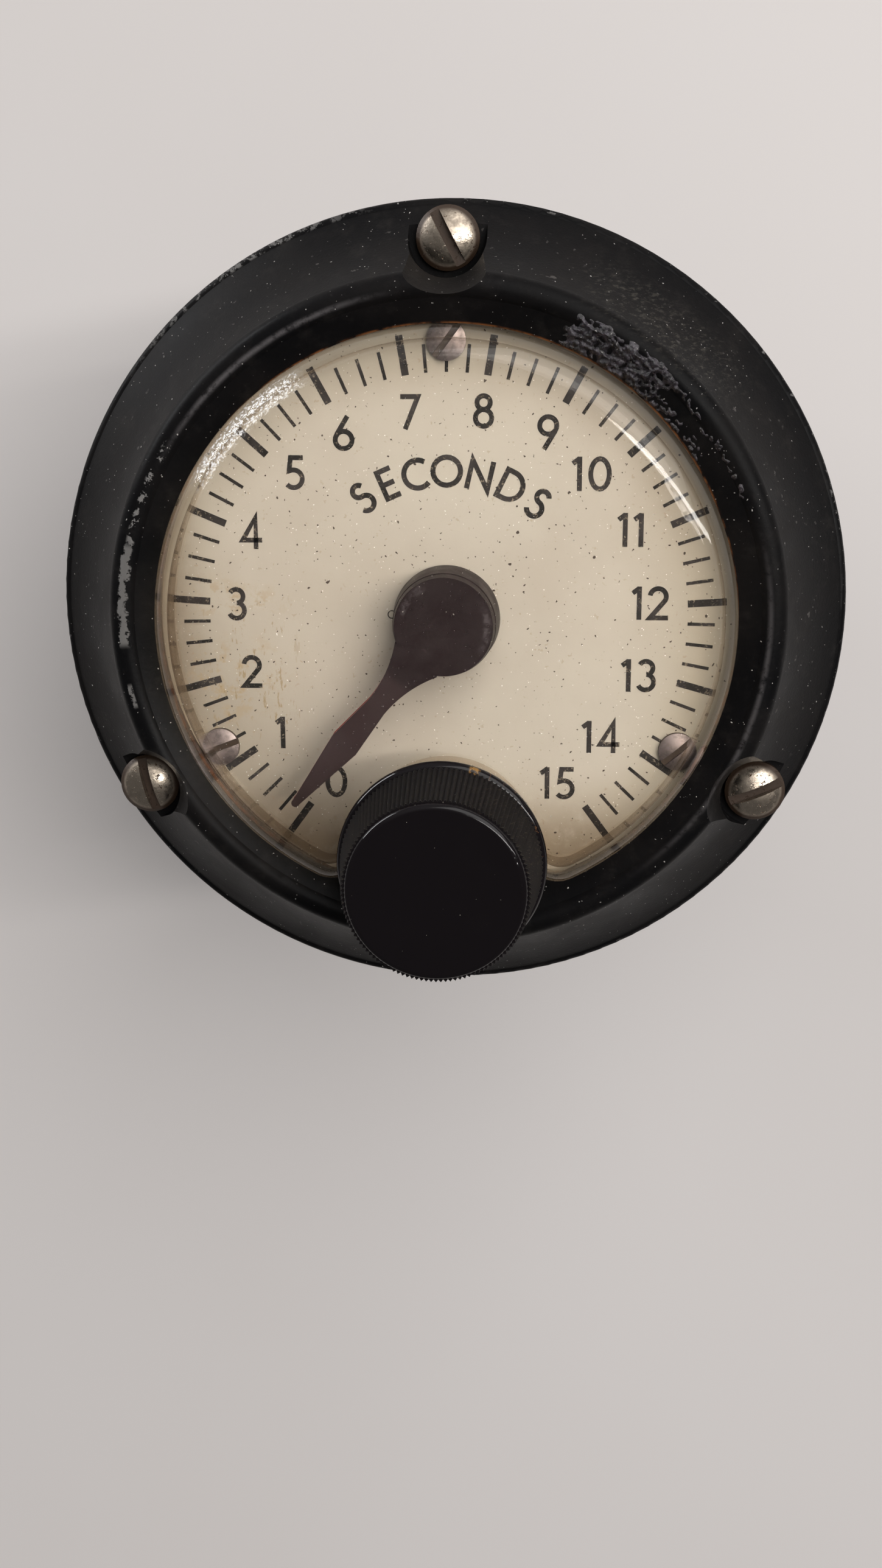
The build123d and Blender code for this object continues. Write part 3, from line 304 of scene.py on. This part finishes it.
def window_look():
    """Clear aged plastic with a hard skin, dusty brown walls, fine scratches and a crazed shoulder whose
    white flecks are also a painted sparkle highlight.
    """
    look = Look("clear_plastic", (0.98, 0.965, 0.93), 0.02)
    look.set("IOR", WINDOW_BODY_IOR)
    look.set("Coat Weight", 1.0)
    look.set("Coat IOR", 1.36)
    look.set("Coat Roughness", 0.05)
    look.set("Sheen Weight", 0.10)
    look.set("Sheen Roughness", 0.30)
    look.set("Sheen Tint", (0.80, 0.60, 0.42))
    radius, angle = look.polar()
    low_side = look.larger(look.step(look.x, -24, -30), look.step(look.y, -14, -24))
    high_stain = look.times(low_side, look.step(look.z, SHOULDER_Z, SHOULDER_Z - 1.2))
    foot = look.times(
        look.larger(look.step(look.z, 16.2, 13.2), high_stain),
        look.step(look.z, WALL_FOOT_Z, WALL_FOOT_Z + 0.2),
    )
    stain = look.times(foot, look.step(look.noise(0.4, 4, 0.6), 0.2, 0.5, 0.6, 1.0))
    brown = look.mix(low_side, (0.50, 0.40, 0.30), (0.33, 0.26, 0.19))
    speck = look.step(look.noise(4.0, 1.0, 0.5, shift=9.0), 0.77, 0.8, 0.0, 0.5)
    haze = look.step(look.noise(0.16, 5, 0.65), 0.45, 0.75, 0.015, 0.05)
    look.set("Roughness", look.sum("ADD", haze, speck))
    scratch = look.step(look.noise(0.5, 6, 0.75, (9.0, 0.6, 1.0)), 0.62, 0.66)
    crazed = look.times(
        look.band(angle, 120, 149, 4),
        look.band(radius, 28.9, 30.7, 0.5),
        look.step(look.z, 14, 16),
    )
    # White crazing flecks on the upper-left shoulder, placed where the lamp's sparkle falls: partly
    # crazing, partly a painted highlight. They let less light through.
    crazing_and_sparkle = look.times(crazed, look.step(look.noise(3.0, 4, 0.7, shift=19.0), 0.50, 0.60))
    colour = look.mix(stain, (0.985, 0.975, 0.95), brown)
    look.set("Base Color", look.mix(crazing_and_sparkle, colour, (0.95, 0.95, 0.96)))
    look.set("Transmission Weight", look.step(crazing_and_sparkle, 0.0, 1.0, 1.0, 0.12))
    under = look.bump(scratch, 0.0015)
    skin = look.bump(look.times(crazed, look.noise(1.8, 2, 0.6)), 0.07, under)
    look.set("Coat Normal", skin)
    path = look.node("ShaderNodeLightPath")
    clear = look.node("ShaderNodeBsdfTransparent")
    clear.inputs["Color"].default_value = (0.95, 0.93, 0.89, 1)
    choice = look.node("ShaderNodeMixShader")
    look.links.new(path.outputs["Is Shadow Ray"], choice.inputs[0])
    look.links.new(look.shader.outputs[0], choice.inputs[1])
    look.links.new(clear.outputs[0], choice.inputs[2])
    look.links.new(choice.outputs[0], look.nodes["Material Output"].inputs["Surface"])
    return look


def dial_look():
    """Matt cream enamel, yellowed in clouds, darker towards the rim, the right and the top, with painted
    shade and some stain towards the lower left, specks and a few brown stains.
    """
    look = Look("dial_enamel", (0.7, 0.6, 0.48), 0.55)
    radius, angle = look.polar()
    cloud = look.noise(0.06, 4, 0.6)
    colour = look.mix(look.step(cloud, 0.3, 0.7), (0.455, 0.405, 0.340), (0.505, 0.460, 0.392))
    edge = look.times(look.step(radius, 24, 33), 0.5)
    colour = look.mix(edge, colour, (0.33, 0.285, 0.215))
    # Painted shade, with some stain: the dial grows darker towards the lower left.
    low_left = look.sum("MULTIPLY_ADD", look.x, -0.8, look.times(look.y, -0.6))
    colour = look.mix(look.step(low_left, 13, 33, 0.0, 0.68), colour, (0.24, 0.20, 0.155))
    colour = look.mix(look.step(look.x, 17, 30, 0.0, 0.45), colour, (0.30, 0.26, 0.19))
    colour = look.mix(look.step(look.y, 22, 32, 0.0, 0.45), colour, (0.30, 0.26, 0.19))
    left_stain = look.times(
        look.band(angle, 172, 179, 4),
        look.band(radius, 19, 29, 3),
        look.step(look.noise(0.55, 5, 0.7), 0.5, 0.62),
    )
    low_stain = look.times(
        look.band(angle, -172, -155, 6),
        look.band(radius, 20, 30, 3),
        look.step(look.noise(0.5, 5, 0.7), 0.5, 0.64),
    )
    stain = look.larger(left_stain, low_stain)
    colour = look.mix(look.times(stain, 0.6), colour, (0.36, 0.25, 0.12))
    near_two = look.times(look.band(look.x, -27, -17, 2), look.band(look.y, -14, 1, 3))
    streak = look.times(near_two, look.step(look.noise(0.55, 4, 0.7, (2.6, 0.7, 1.0), 27.0), 0.60, 0.66))
    colour = look.mix(look.times(streak, 0.7), colour, (0.27, 0.185, 0.075))
    freckle = look.step(look.noise(1.6, 2.0, 0.6, shift=4.0), 0.67, 0.73)
    colour = look.mix(look.times(freckle, 0.45), colour, (0.34, 0.26, 0.17))
    speck = look.step(look.noise(2.3, 1.0, 0.5, shift=17.0), 0.72, 0.742)
    crumb = look.step(look.noise(1.1, 1.0, 0.5, shift=31.0), 0.76, 0.775)
    colour = look.mix(look.larger(speck, crumb), colour, (0.045, 0.028, 0.018))
    look.set("Base Color", colour)
    look.set("Roughness", look.step(cloud, 0.3, 0.7, 0.62, 0.48))
    look.bump(look.noise(2.5, 5, 0.6), 0.012)
    return look


def ink_look():
    """Dark print, worn through in flecks."""
    look = Look("dial_ink", (0.02, 0.017, 0.015), 0.6)
    look.set("Specular IOR Level", 0.25)
    worn = look.step(look.noise(2.6, 5, 0.72), 0.56, 0.66)
    pale = look.step(look.noise(0.25, 3), 0.35, 0.7)
    ink = look.mix(pale, (0.010, 0.008, 0.007), (0.040, 0.033, 0.031))
    look.set("Base Color", look.mix(look.times(worn, 0.75), ink, (0.34, 0.28, 0.21)))
    look.bump(worn, -0.01)
    return look


def screw_look(name, bright, slot_z, slot_top, wear=1.0):
    """Plated metal, brown below slot_top in the slot and round the rim, with pits."""
    look = Look(name, bright, 0.3, 1.0)
    tarnish = look.step(look.noise(0.55, 6, 0.7), 0.38, 0.68)
    colour = look.mix(tarnish, bright, tuple(c * 0.45 for c in bright))
    pit = look.times(look.step(look.noise(2.6, 3, 0.6, shift=6.0), 0.62, 0.68), wear)
    colour = look.mix(pit, colour, (0.09, 0.045, 0.022))
    dirt = look.step(look.z, slot_top, slot_z)
    look.set("Base Color", look.mix(dirt, colour, (0.045, 0.026, 0.015)))
    look.set("Metallic", look.step(look.larger(dirt, pit), 0.0, 1.0, 1.0, 0.15))
    look.set("Roughness", look.step(look.larger(dirt, tarnish), 0.0, 1.0, 0.42 - 0.18 * wear, 0.5))
    under = look.bump(look.noise(3.5, 4, 0.6), 0.02 * wear)
    look.bump(pit, -0.04, under)
    return look


HUB_PAINT = (0.0120, 0.0060, 0.0068)


def pointer_look(name, face, edge, top):
    """Satin paint, with the edge paint showing below the front face of the blade and a painted highlight on
    the hub's rim.
    """
    look = Look(name, face, 0.42)
    look.set("Specular IOR Level", 0.14)
    radius, angle = look.polar()
    hub = look.step(radius, *BLADE_START_R[::-1])
    face = look.mix(hub, face, HUB_PAINT)
    edge = look.mix(hub, edge, HUB_PAINT)
    cloud = look.noise(0.35, 5, 0.65)
    colour = look.mix(look.step(cloud, 0.35, 0.7, 0.0, 0.12), face, (0.06, 0.045, 0.045))
    colour = look.mix(look.step(look.z, top - 0.12, top - 0.22), colour, edge)
    # Painted highlight: a lighter, broken arc on the hub's rim at the upper left and on the right.
    highlight_side = look.larger(look.band(angle, 118, 165, 10), look.band(angle, -30, 25, 12))
    scuff = look.times(
        look.band(radius, 4.35, 5.05, 0.2),
        highlight_side,
        look.step(look.noise(1.3, 5, 0.7, shift=2.0), 0.42, 0.62),
    )
    colour = look.mix(look.times(scuff, 0.55), colour, (0.10, 0.085, 0.09))
    look.set("Base Color", look.specks(colour, (0.45, 0.42, 0.38), 2.8, 7.0, 0.76, 0.79))
    look.set("Roughness", look.step(cloud, 0.3, 0.7, 0.36, 0.52))
    look.bump(look.noise(2.2, 5, 0.6), 0.012)
    return look


def knob_look():
    """Polished black phenolic with dust in the serrations and a glossy face and foot."""
    look = Look("black_phenolic", (0.0085, 0.0065, 0.0075), 0.16)
    look.set("Specular IOR Level", 0.28)
    radius, angle = look.polar(KNOB_CENTRE)
    side = look.times(look.step(radius, 9.35, 9.6), look.band(look.z, *SERRATION_Z, 0.25))
    lint = look.step(look.noise(1.2, 5, 0.7), 0.30, 0.68)
    colour = look.mix(look.times(side, lint), (0.0060, 0.0045, 0.0055), (0.009, 0.007, 0.0055))
    crumb = look.times(
        side,
        look.band(angle, 5, 75, 12),
        look.step(look.noise(2.3, 3, 0.7, shift=23.0), 0.58, 0.64),
    )
    colour = look.mix(look.times(crumb, 0.5), colour, (0.085, 0.060, 0.045))
    colour = look.specks(colour, (0.42, 0.38, 0.33), 2.6, 13.0, 0.80, 0.82)
    chip = look.times(
        look.band(angle, 68.5, 74, 0.8),
        look.band(look.z, 19.3, 19.85, 0.15),
        look.step(look.noise(2.4, 4, 0.7), 0.42, 0.54),
    )
    colour = look.mix(chip, colour, (0.32, 0.17, 0.05))
    fleck = look.times(
        look.band(angle, 8, 66, 6),
        look.band(look.z, 18.7, 19.9, 0.2),
        look.step(look.noise(2.0, 3, 0.7), 0.60, 0.66),
    )
    look.set("Base Color", look.mix(look.times(fleck, 0.6), colour, (0.16, 0.075, 0.03)))
    smear = look.step(look.noise(0.22, 5, 0.65), 0.35, 0.7, 0.07, 0.18)
    look.set("Roughness", look.larger(smear, look.times(side, 0.78)))
    look.bump(look.noise(0.8, 4, 0.6), 0.008)
    return look


def case_look():
    """Black lacquer on drawn steel, with vertical draw lines and patches worn by rubbing."""
    look = Look("case_paint", (0.02, 0.02, 0.02), 0.32)
    look.set("Specular IOR Level", 0.35)
    drawn = look.noise(0.8, 5, 0.6, (4.0, 4.0, 0.12))
    cloud = look.noise(0.08, 5, 0.65)
    colour = look.mix(look.step(cloud, 0.35, 0.7), (0.012, 0.012, 0.013), (0.032, 0.030, 0.030))
    rub = look.times(look.step(look.noise(0.5, 5, 0.75, shift=12.0), 0.63, 0.69), 0.6)
    colour = look.mix(rub, colour, (0.13, 0.12, 0.115))
    look.set("Base Color", look.specks(colour, (0.35, 0.33, 0.31), 3.0, 5.0, 0.76, 0.79))
    look.set("Roughness", look.step(cloud, 0.3, 0.7, 0.26, 0.45))
    look.bump(drawn, 0.02)
    return look


looks = {
    "black_paint": bezel_look(),
    "clear_plastic": window_look(),
    "gasket_rubber": grained("gasket_rubber", (0.10, 0.055, 0.030), (0.05, 0.03, 0.02), 0.7),
    "dial_enamel": dial_look(),
    "nickel": screw_look("nickel", (0.62, 0.53, 0.43), *SCREW_SLOT_Z),
    "steel": grained("steel", (0.56, 0.55, 0.53), (0.40, 0.38, 0.36), 0.3, 1.0, 1.5, 0.01),
    "brass": grained("brass", (0.68, 0.50, 0.24), (0.42, 0.28, 0.12), 0.3, 1.0, 1.2, 0.01),
    "spring_bronze": grained("spring_bronze", (0.60, 0.38, 0.22), (0.42, 0.24, 0.12), 0.3, 1.0),
    "dark_maroon": pointer_look(
        "dark_maroon", (0.028, 0.0165, 0.0170), (0.10, 0.013, 0.013), SET_POINTER_TOP_Z
    ),
    "red_paint": pointer_look(
        "red_paint", (0.20, 0.012, 0.012), (0.16, 0.012, 0.012), PROGRESS_POINTER_TOP_Z
    ),
    "black_phenolic": knob_look(),
    "brown_phenolic": grained("brown_phenolic", (0.075, 0.042, 0.028), (0.040, 0.024, 0.018), 0.38),
    "ivory_plastic": grained("ivory_plastic", (0.72, 0.66, 0.52), (0.60, 0.52, 0.38), 0.35),
    "zinc_steel": grained("zinc_steel", (0.60, 0.61, 0.60), (0.44, 0.45, 0.45), 0.36, 1.0),
    "black_tape": grained("black_tape", (0.050, 0.040, 0.030), (0.022, 0.018, 0.014), 0.55, 0, 1.0, 0.05),
    "rotor_iron": grained("rotor_iron", (0.16, 0.15, 0.15), (0.09, 0.08, 0.08), 0.5, 1.0),
    "case_paint": case_look(),
}
dial_screw_steel = screw_look("dial_screw_steel", (0.36, 0.30, 0.29), *DIAL_SCREW_SLOT_Z, 0.15)
plated_screws = grained("plated_screws", (0.58, 0.54, 0.48), (0.34, 0.29, 0.24), 0.32, 1.0)
own_looks = {
    "dial_screws": dial_screw_steel,
    "terminal_screws": plated_screws,
    "case_screws": plated_screws,
}
for subpart in frame["record"]["subparts"]:
    node = frame["nodes"][subpart["node"]]
    look = own_looks.get(subpart["node"], looks[subpart["material_slot"]])
    node.data.materials.clear()
    node.data.materials.append(look.material)


# ======== the dial's print ========
def add_object(name, mesh, look):
    """Makes a piece from a bmesh and gives it its material."""
    bmesh.ops.recalc_face_normals(mesh, faces=mesh.faces)
    data = bpy.data.meshes.new(name)
    mesh.to_mesh(data)
    mesh.free()
    data.materials.append(look.material)
    made = bpy.data.objects.new(name, data)
    bpy.context.scene.collection.objects.link(made)
    return made


def offsets(points, half, closed):
    """Left and right edges of a stroke along points, with mitred corners."""
    left, right = [], []
    last = len(points) - 1
    for i, point in enumerate(points):
        before = points[i - 1] if i > 0 or closed else None
        after = points[(i + 1) % len(points)] if i < last or closed else None
        ahead = (after - point).normalized() if after is not None else (point - before).normalized()
        behind = (point - before).normalized() if before is not None else ahead
        turn = (ahead + behind).normalized()
        across = Vector((-turn.y, turn.x))
        reach = half / max(0.35, across.dot(Vector((-ahead.y, ahead.x))))
        left.append(point + across * reach)
        right.append(point - across * reach)
    return left, right


def stroke(mesh, points, width, lift, closed=False):
    """A flat closed bar of ink along points, in mm on the dial. Each stroke is a hair higher than
    the last where they cross."""
    points = [Vector(p) for p in points]
    left, right = offsets(points, width / 2, closed)
    low, high = DIAL_Z - INK_SINK, DIAL_Z + INK_T + INK_STEP * lift
    rings = []
    for a, b in zip(left, right):
        corners = ((a, low), (b, low), (b, high), (a, high))
        rings.append([mesh.verts.new((p.x * MM, p.y * MM, z * MM)) for p, z in corners])
    pairs = list(zip(rings, rings[1:] + rings[:1])) if closed else list(zip(rings, rings[1:]))
    for one, two in pairs:
        for k in range(4):
            mesh.faces.new((one[k], one[(k + 1) % 4], two[(k + 1) % 4], two[k]))
    if not closed:
        mesh.faces.new(rings[0])
        mesh.faces.new(rings[-1])


def arc(x, y, radius, start, end, count=20, squeeze=1.0):
    """Points of an arc in a glyph's own unit square."""
    turns = [math.radians(start + (end - start) * i / count) for i in range(count + 1)]
    return [(x + radius * squeeze * math.cos(t), y + radius * math.sin(t)) for t in turns]


def ring(x, y, radius, squeeze=1.0):
    """Points of a full turn, for a closed stroke. squeeze narrows it."""
    return arc(x, y, radius, 0, 345, 23, squeeze)


# Each glyph has its width, its open strokes and its closed strokes, on a height of 1.
GLYPHS = {
    "0": (0.66, [], [ring(0.33, 0.5, 0.44, 0.62)]),
    "1": (0.30, [[(0.20, 0.0), (0.20, 1.0)], [(0.20, 0.95), (0.0, 0.80)]], []),
    "2": (0.60, [arc(0.29, 0.70, 0.24, 172, -28) + [(0.06, 0.06), (0.60, 0.06)]], []),
    "3": (0.56, [arc(0.25, 0.73, 0.21, 150, -85), arc(0.25, 0.30, 0.24, 85, -155)], []),
    "4": (0.66, [[(0.47, 0.0), (0.47, 0.94), (0.07, 0.27), (0.66, 0.27)]], []),
    "5": (0.58, [[(0.54, 0.94), (0.17, 0.94), (0.12, 0.55)] + arc(0.25, 0.32, 0.26, 105, -140)], []),
    "6": (0.60, [[(0.09, 0.46), (0.42, 1.0)]], [ring(0.30, 0.31, 0.25)]),
    "7": (0.58, [[(0.0, 0.94), (0.52, 0.94), (0.14, 0.0)]], []),
    "8": (0.56, [], [ring(0.28, 0.74, 0.195), ring(0.28, 0.30, 0.24)]),
    "9": (0.60, [[(0.51, 0.54), (0.18, 0.0)]], [ring(0.30, 0.69, 0.25)]),
    "S": (0.54, [arc(0.27, 0.745, 0.195, 28, 270) + arc(0.27, 0.305, 0.245, 90, -150)[1:]], []),
    "E": (0.52, [[(0.52, 0.94), (0.06, 0.94), (0.06, 0.06), (0.52, 0.06)], [(0.06, 0.5), (0.48, 0.5)]], []),
    "C": (0.86, [arc(0.5, 0.5, 0.44, 48, 312)], []),
    "O": (1.0, [], [ring(0.5, 0.5, 0.44)]),
    "N": (0.78, [[(0.06, 0.0), (0.06, 0.92), (0.72, 0.08), (0.72, 1.0)]], []),
    "D": (0.78, [], [[(0.06, 0.06), (0.06, 0.94)] + arc(0.30, 0.5, 0.44, 90, -90)]),
}
GLYPH_GAP = 0.17


def draw_text(mesh, text, centre, height, width, turn=0.0):
    """Draws text about centre, turned anticlockwise by turn degrees."""
    total = sum(GLYPHS[c][0] for c in text) + GLYPH_GAP * (len(text) - 1)
    spin = Matrix.Rotation(math.radians(turn), 2)
    start = -total / 2
    lift = 0
    for c in text:
        glyph_width, lines, loops = GLYPHS[c]
        for closed, strokes in ((False, lines), (True, loops)):
            for points in strokes:
                local = [Vector(((start + x) * height, (y - 0.5) * height)) for x, y in points]
                placed = [Vector(centre) + spin @ p for p in local]
                stroke(mesh, placed, width, lift % 4, closed)
                lift += 1
        start += glyph_width + GLYPH_GAP


def on_dial(radius, clock_angle):
    """A point of the dial, from its clockwise angle from 12 o'clock."""
    turn = math.radians(clock_angle)
    return Vector((radius * math.sin(turn), radius * math.cos(turn)))


ink = ink_look()
ticks = bmesh.new()
for quarter in range(4 * SECONDS + 1):
    clock_angle = (quarter / 4 - SECONDS / 2) * SECOND_ANGLE
    major = quarter % 4 == 0
    outer = MAJOR_OUTER_R if major else MINOR_OUTER_R
    width = MAJOR_WIDTH if major else MINOR_WIDTH
    stroke(ticks, [on_dial(TICK_INNER_R, clock_angle), on_dial(outer, clock_angle)], width, 0)
figures = bmesh.new()
for second in range(SECONDS + 1):
    radius, nudge = FIGURE_SPOTS[second]
    spot = on_dial(radius, (second - SECONDS / 2) * SECOND_ANGLE + nudge)
    draw_text(figures, str(second), spot, FIGURE_HEIGHT, FIGURE_STROKE)
lettering = bmesh.new()
for letter, clock_angle in zip("SECONDS", LETTER_ANGLES):
    draw_text(lettering, letter, on_dial(LETTER_R, clock_angle), LETTER_HEIGHT, LETTER_STROKE, -clock_angle)
stop_mark = [
    (STOP_MARK_SPOT[0] + STOP_MARK_R * x, STOP_MARK_SPOT[1] + STOP_MARK_R * y)
    for x, y in ring(0, 0, 1)
]
stroke(lettering, stop_mark, STOP_MARK_STROKE, 0, closed=True)
for name, mesh in (("dial_ticks", ticks), ("dial_figures", figures), ("dial_lettering", lettering)):
    print_piece = add_object(name, mesh, ink)
    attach(print_piece, "case")


# ======== blistered paint on the bezel, between half past 12 and 2 o'clock ========
CRUST_DROP_Z = 0.03  # m, height from which points are dropped on the bezel
CRUST_MOST = 0.75  # mm, the most the paint stands off
CRUST_DEPTH = 0.35  # mm, how far the sheet's foot is inside the bezel


def bvh_of(node):
    """A search tree of a CAD node's mesh, for dropping points on its surface."""
    data = frame["nodes"][node].data
    points = [v.co.copy() for v in data.vertices]
    return BVHTree.FromPolygons(points, [tuple(p.vertices) for p in data.polygons])


def ramp(value, low, high):
    """0 at low and 1 at high, straight between; low may be the larger."""
    return min(1.0, max(0.0, (value - low) / (high - low)))


def crust_height(x, y):
    """Height in mm of the lifted paint above the bezel. Below zero it stays inside the bezel."""
    radius, turn = math.hypot(x, y), math.degrees(math.atan2(y, x))
    along = math.radians(turn) * RIDGE_R
    crease = noise.noise(Vector((along * 0.5 + radius * 0.3, radius * 0.8 - along * 0.2, 1.3)))
    fold = max(0.0, 1 - 2.8 * abs(crease))
    gaps = noise.voronoi(Vector((along * 0.75, radius * 1.15, 0.4)))[0]
    flake = min(1.0, gaps[1] - gaps[0])
    shard = noise.noise(Vector((along * 2.1, radius * 2.6, 4.7)))
    heap = ramp(turn, 45, 50) * ramp(turn, 69, 65) * ramp(radius, 31.3, 31.7) * ramp(radius, 35.6, 34.4)
    hem = ramp(turn, 29, 35) * ramp(turn, 54, 49) * ramp(radius, 31.3, 31.6) * ramp(radius, 33.2, 32.4)
    wander = 0.5 * noise.noise(Vector((along * 0.6, 0, 7.7)))
    line = 34.9 - 1.0 * ramp(turn, 50, 38) + 0.4 * ramp(turn, 36, 24) + wander
    worm = max(0.0, 1 - abs(radius - line) / 0.6) * ramp(turn, 20, 25) * ramp(turn, 53, 49)
    height = heap * (0.10 + 0.42 * fold + 0.34 * flake + 0.26 * shard)
    height += hem * (0.05 + 0.36 * flake + 0.30 * shard)
    return height + worm * (0.12 + 0.30 * flake + 0.34 * shard) - 0.14


def crust(name, angles, radii, steps):
    """A closed sheet that follows the bezel and pokes out of it where the paint is broken."""
    surface = bvh_of("bezel")
    mesh = bmesh.new()
    across, along = steps
    tops, feet = [], []
    for i in range(along + 1):
        turn = angles[0] + (angles[1] - angles[0]) * i / along
        top_row, foot_row = [], []
        for j in range(across + 1):
            radius = radii[0] + (radii[1] - radii[0]) * j / across
            x, y = radius * math.cos(math.radians(turn)), radius * math.sin(math.radians(turn))
            hit = surface.ray_cast(Vector((x * MM, y * MM, CRUST_DROP_Z)), Vector((0, 0, -1)))[0]
            lift = min(CRUST_MOST, crust_height(x, y))
            top_row.append(mesh.verts.new((x * MM, y * MM, hit.z + lift * MM)))
            foot_row.append(mesh.verts.new((x * MM, y * MM, hit.z - CRUST_DEPTH * MM)))
        tops.append(top_row)
        feet.append(foot_row)
    for i in range(along):
        for j in range(across):
            mesh.faces.new((tops[i][j], tops[i + 1][j], tops[i + 1][j + 1], tops[i][j + 1]))
            mesh.faces.new((feet[i][j], feet[i][j + 1], feet[i + 1][j + 1], feet[i + 1][j]))
    for i in range(along):
        for j, flip in ((0, False), (across, True)):
            quad = (feet[i][j], feet[i + 1][j], tops[i + 1][j], tops[i][j])
            mesh.faces.new(quad[::-1] if flip else quad)
    for j in range(across):
        for i, flip in ((0, True), (along, False)):
            quad = (feet[i][j], feet[i][j + 1], tops[i][j + 1], tops[i][j])
            mesh.faces.new(quad[::-1] if flip else quad)
    return add_object(name, mesh, crust_look())


blistered_paint = crust("blistered_paint", (19.0, 70.0), (31.45, 35.8), (46, 310))
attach(blistered_paint, "case")

# ======== floor, light and camera ========
FLOOR_HALF = 2.5
SKY_BRIGHT_SIDE = (0.2, 0.78, 0.59)
SKY_RAMP = (0.45, 0.95, 0.105, 0.45)  # cosines at the dim and bright ends, then their strengths


def floor_look():
    look = Look("floor", (0.68, 0.655, 0.64), 0.5)
    cloud = look.noise(0.004, 4, 0.6)
    look.set(
        "Base Color",
        look.mix(look.step(cloud, 0.3, 0.7), (0.745, 0.71, 0.695), (0.765, 0.735, 0.725)),
    )
    return look


floor_mesh = bmesh.new()
bmesh.ops.create_grid(floor_mesh, x_segments=2, y_segments=2, size=FLOOR_HALF)
floor = add_object("floor", floor_mesh, floor_look())
floor.location.z = FLOOR_Z


def area_light(name, spot, size, energy, colour, turn=None):
    """A soft rectangular lamp at spot in metres, aimed at the dial, or facing down and turned."""
    data = bpy.data.lights.new(name, "AREA")
    data.shape = "RECTANGLE"
    data.size, data.size_y = size
    data.energy = energy
    data.color = colour
    lamp = bpy.data.objects.new(name, data)
    bpy.context.scene.collection.objects.link(lamp)
    lamp.location = spot
    aim = Vector(spot).to_track_quat("Z", "Y").to_euler()
    lamp.rotation_euler = aim if turn is None else (0, 0, math.radians(turn))
    return lamp


area_light("ceiling_tube", (1.07, 0.24, 1.2), (1.8, 0.08), 11.0, (1.0, 0.97, 0.94), 8.8)
area_light("soft_panel", (0.50, 0.67, 0.85), (1.05, 1.05), 8.2, (1.0, 0.98, 0.96))
area_light("side_strip", (-0.88, 0.65, 0.10), (0.6, 0.11), 5.5, (0.97, 0.98, 1.0))

world = bpy.data.worlds.new("studio")
bpy.context.scene.world = world
world.use_nodes = True
sky_nodes, sky_links = world.node_tree.nodes, world.node_tree.links
sky_place = sky_nodes.new("ShaderNodeTexCoord")
sky_towards = sky_nodes.new("ShaderNodeVectorMath")
sky_towards.operation = "DOT_PRODUCT"
sky_towards.inputs[1].default_value = SKY_BRIGHT_SIDE
sky_ramp = sky_nodes.new("ShaderNodeMapRange")
sky_ramp.interpolation_type = "SMOOTHSTEP"
for sky_socket, number in zip(list(sky_ramp.inputs)[1:5], SKY_RAMP):
    sky_socket.default_value = number
sky_links.new(sky_place.outputs["Generated"], sky_towards.inputs[0])
sky_links.new(sky_towards.outputs["Value"], sky_ramp.inputs[0])
background = sky_nodes["Background"]
background.inputs["Color"].default_value = (1.0, 0.975, 0.965, 1)
sky_links.new(sky_ramp.outputs[0], background.inputs["Strength"])

CAMERA_SPOT = Vector((11.34, 29.42, 197.54)) * MM
CAMERA_TURNS = ((14.31, "X"), (-3.60, "Y"), (0.19, "Z"))
FOCAL_PX = 2850
LONG_SIDE_PX = 2576
SENSOR = 36.0

turns = Matrix.Identity(3)
for angle, axis in CAMERA_TURNS:
    turns = turns @ Matrix.Rotation(math.radians(angle), 3, axis)
camera_data = bpy.data.cameras.new("camera")
camera_data.sensor_width = SENSOR
camera_data.lens = FOCAL_PX / LONG_SIDE_PX * SENSOR
camera_data.clip_start = 0.01
camera = bpy.data.objects.new("camera", camera_data)
bpy.context.scene.collection.objects.link(camera)
camera.matrix_world = Matrix.Translation(CAMERA_SPOT) @ turns.transposed().to_4x4()
bpy.context.scene.camera = camera
bpy.context.scene.view_settings.view_transform = "Standard"
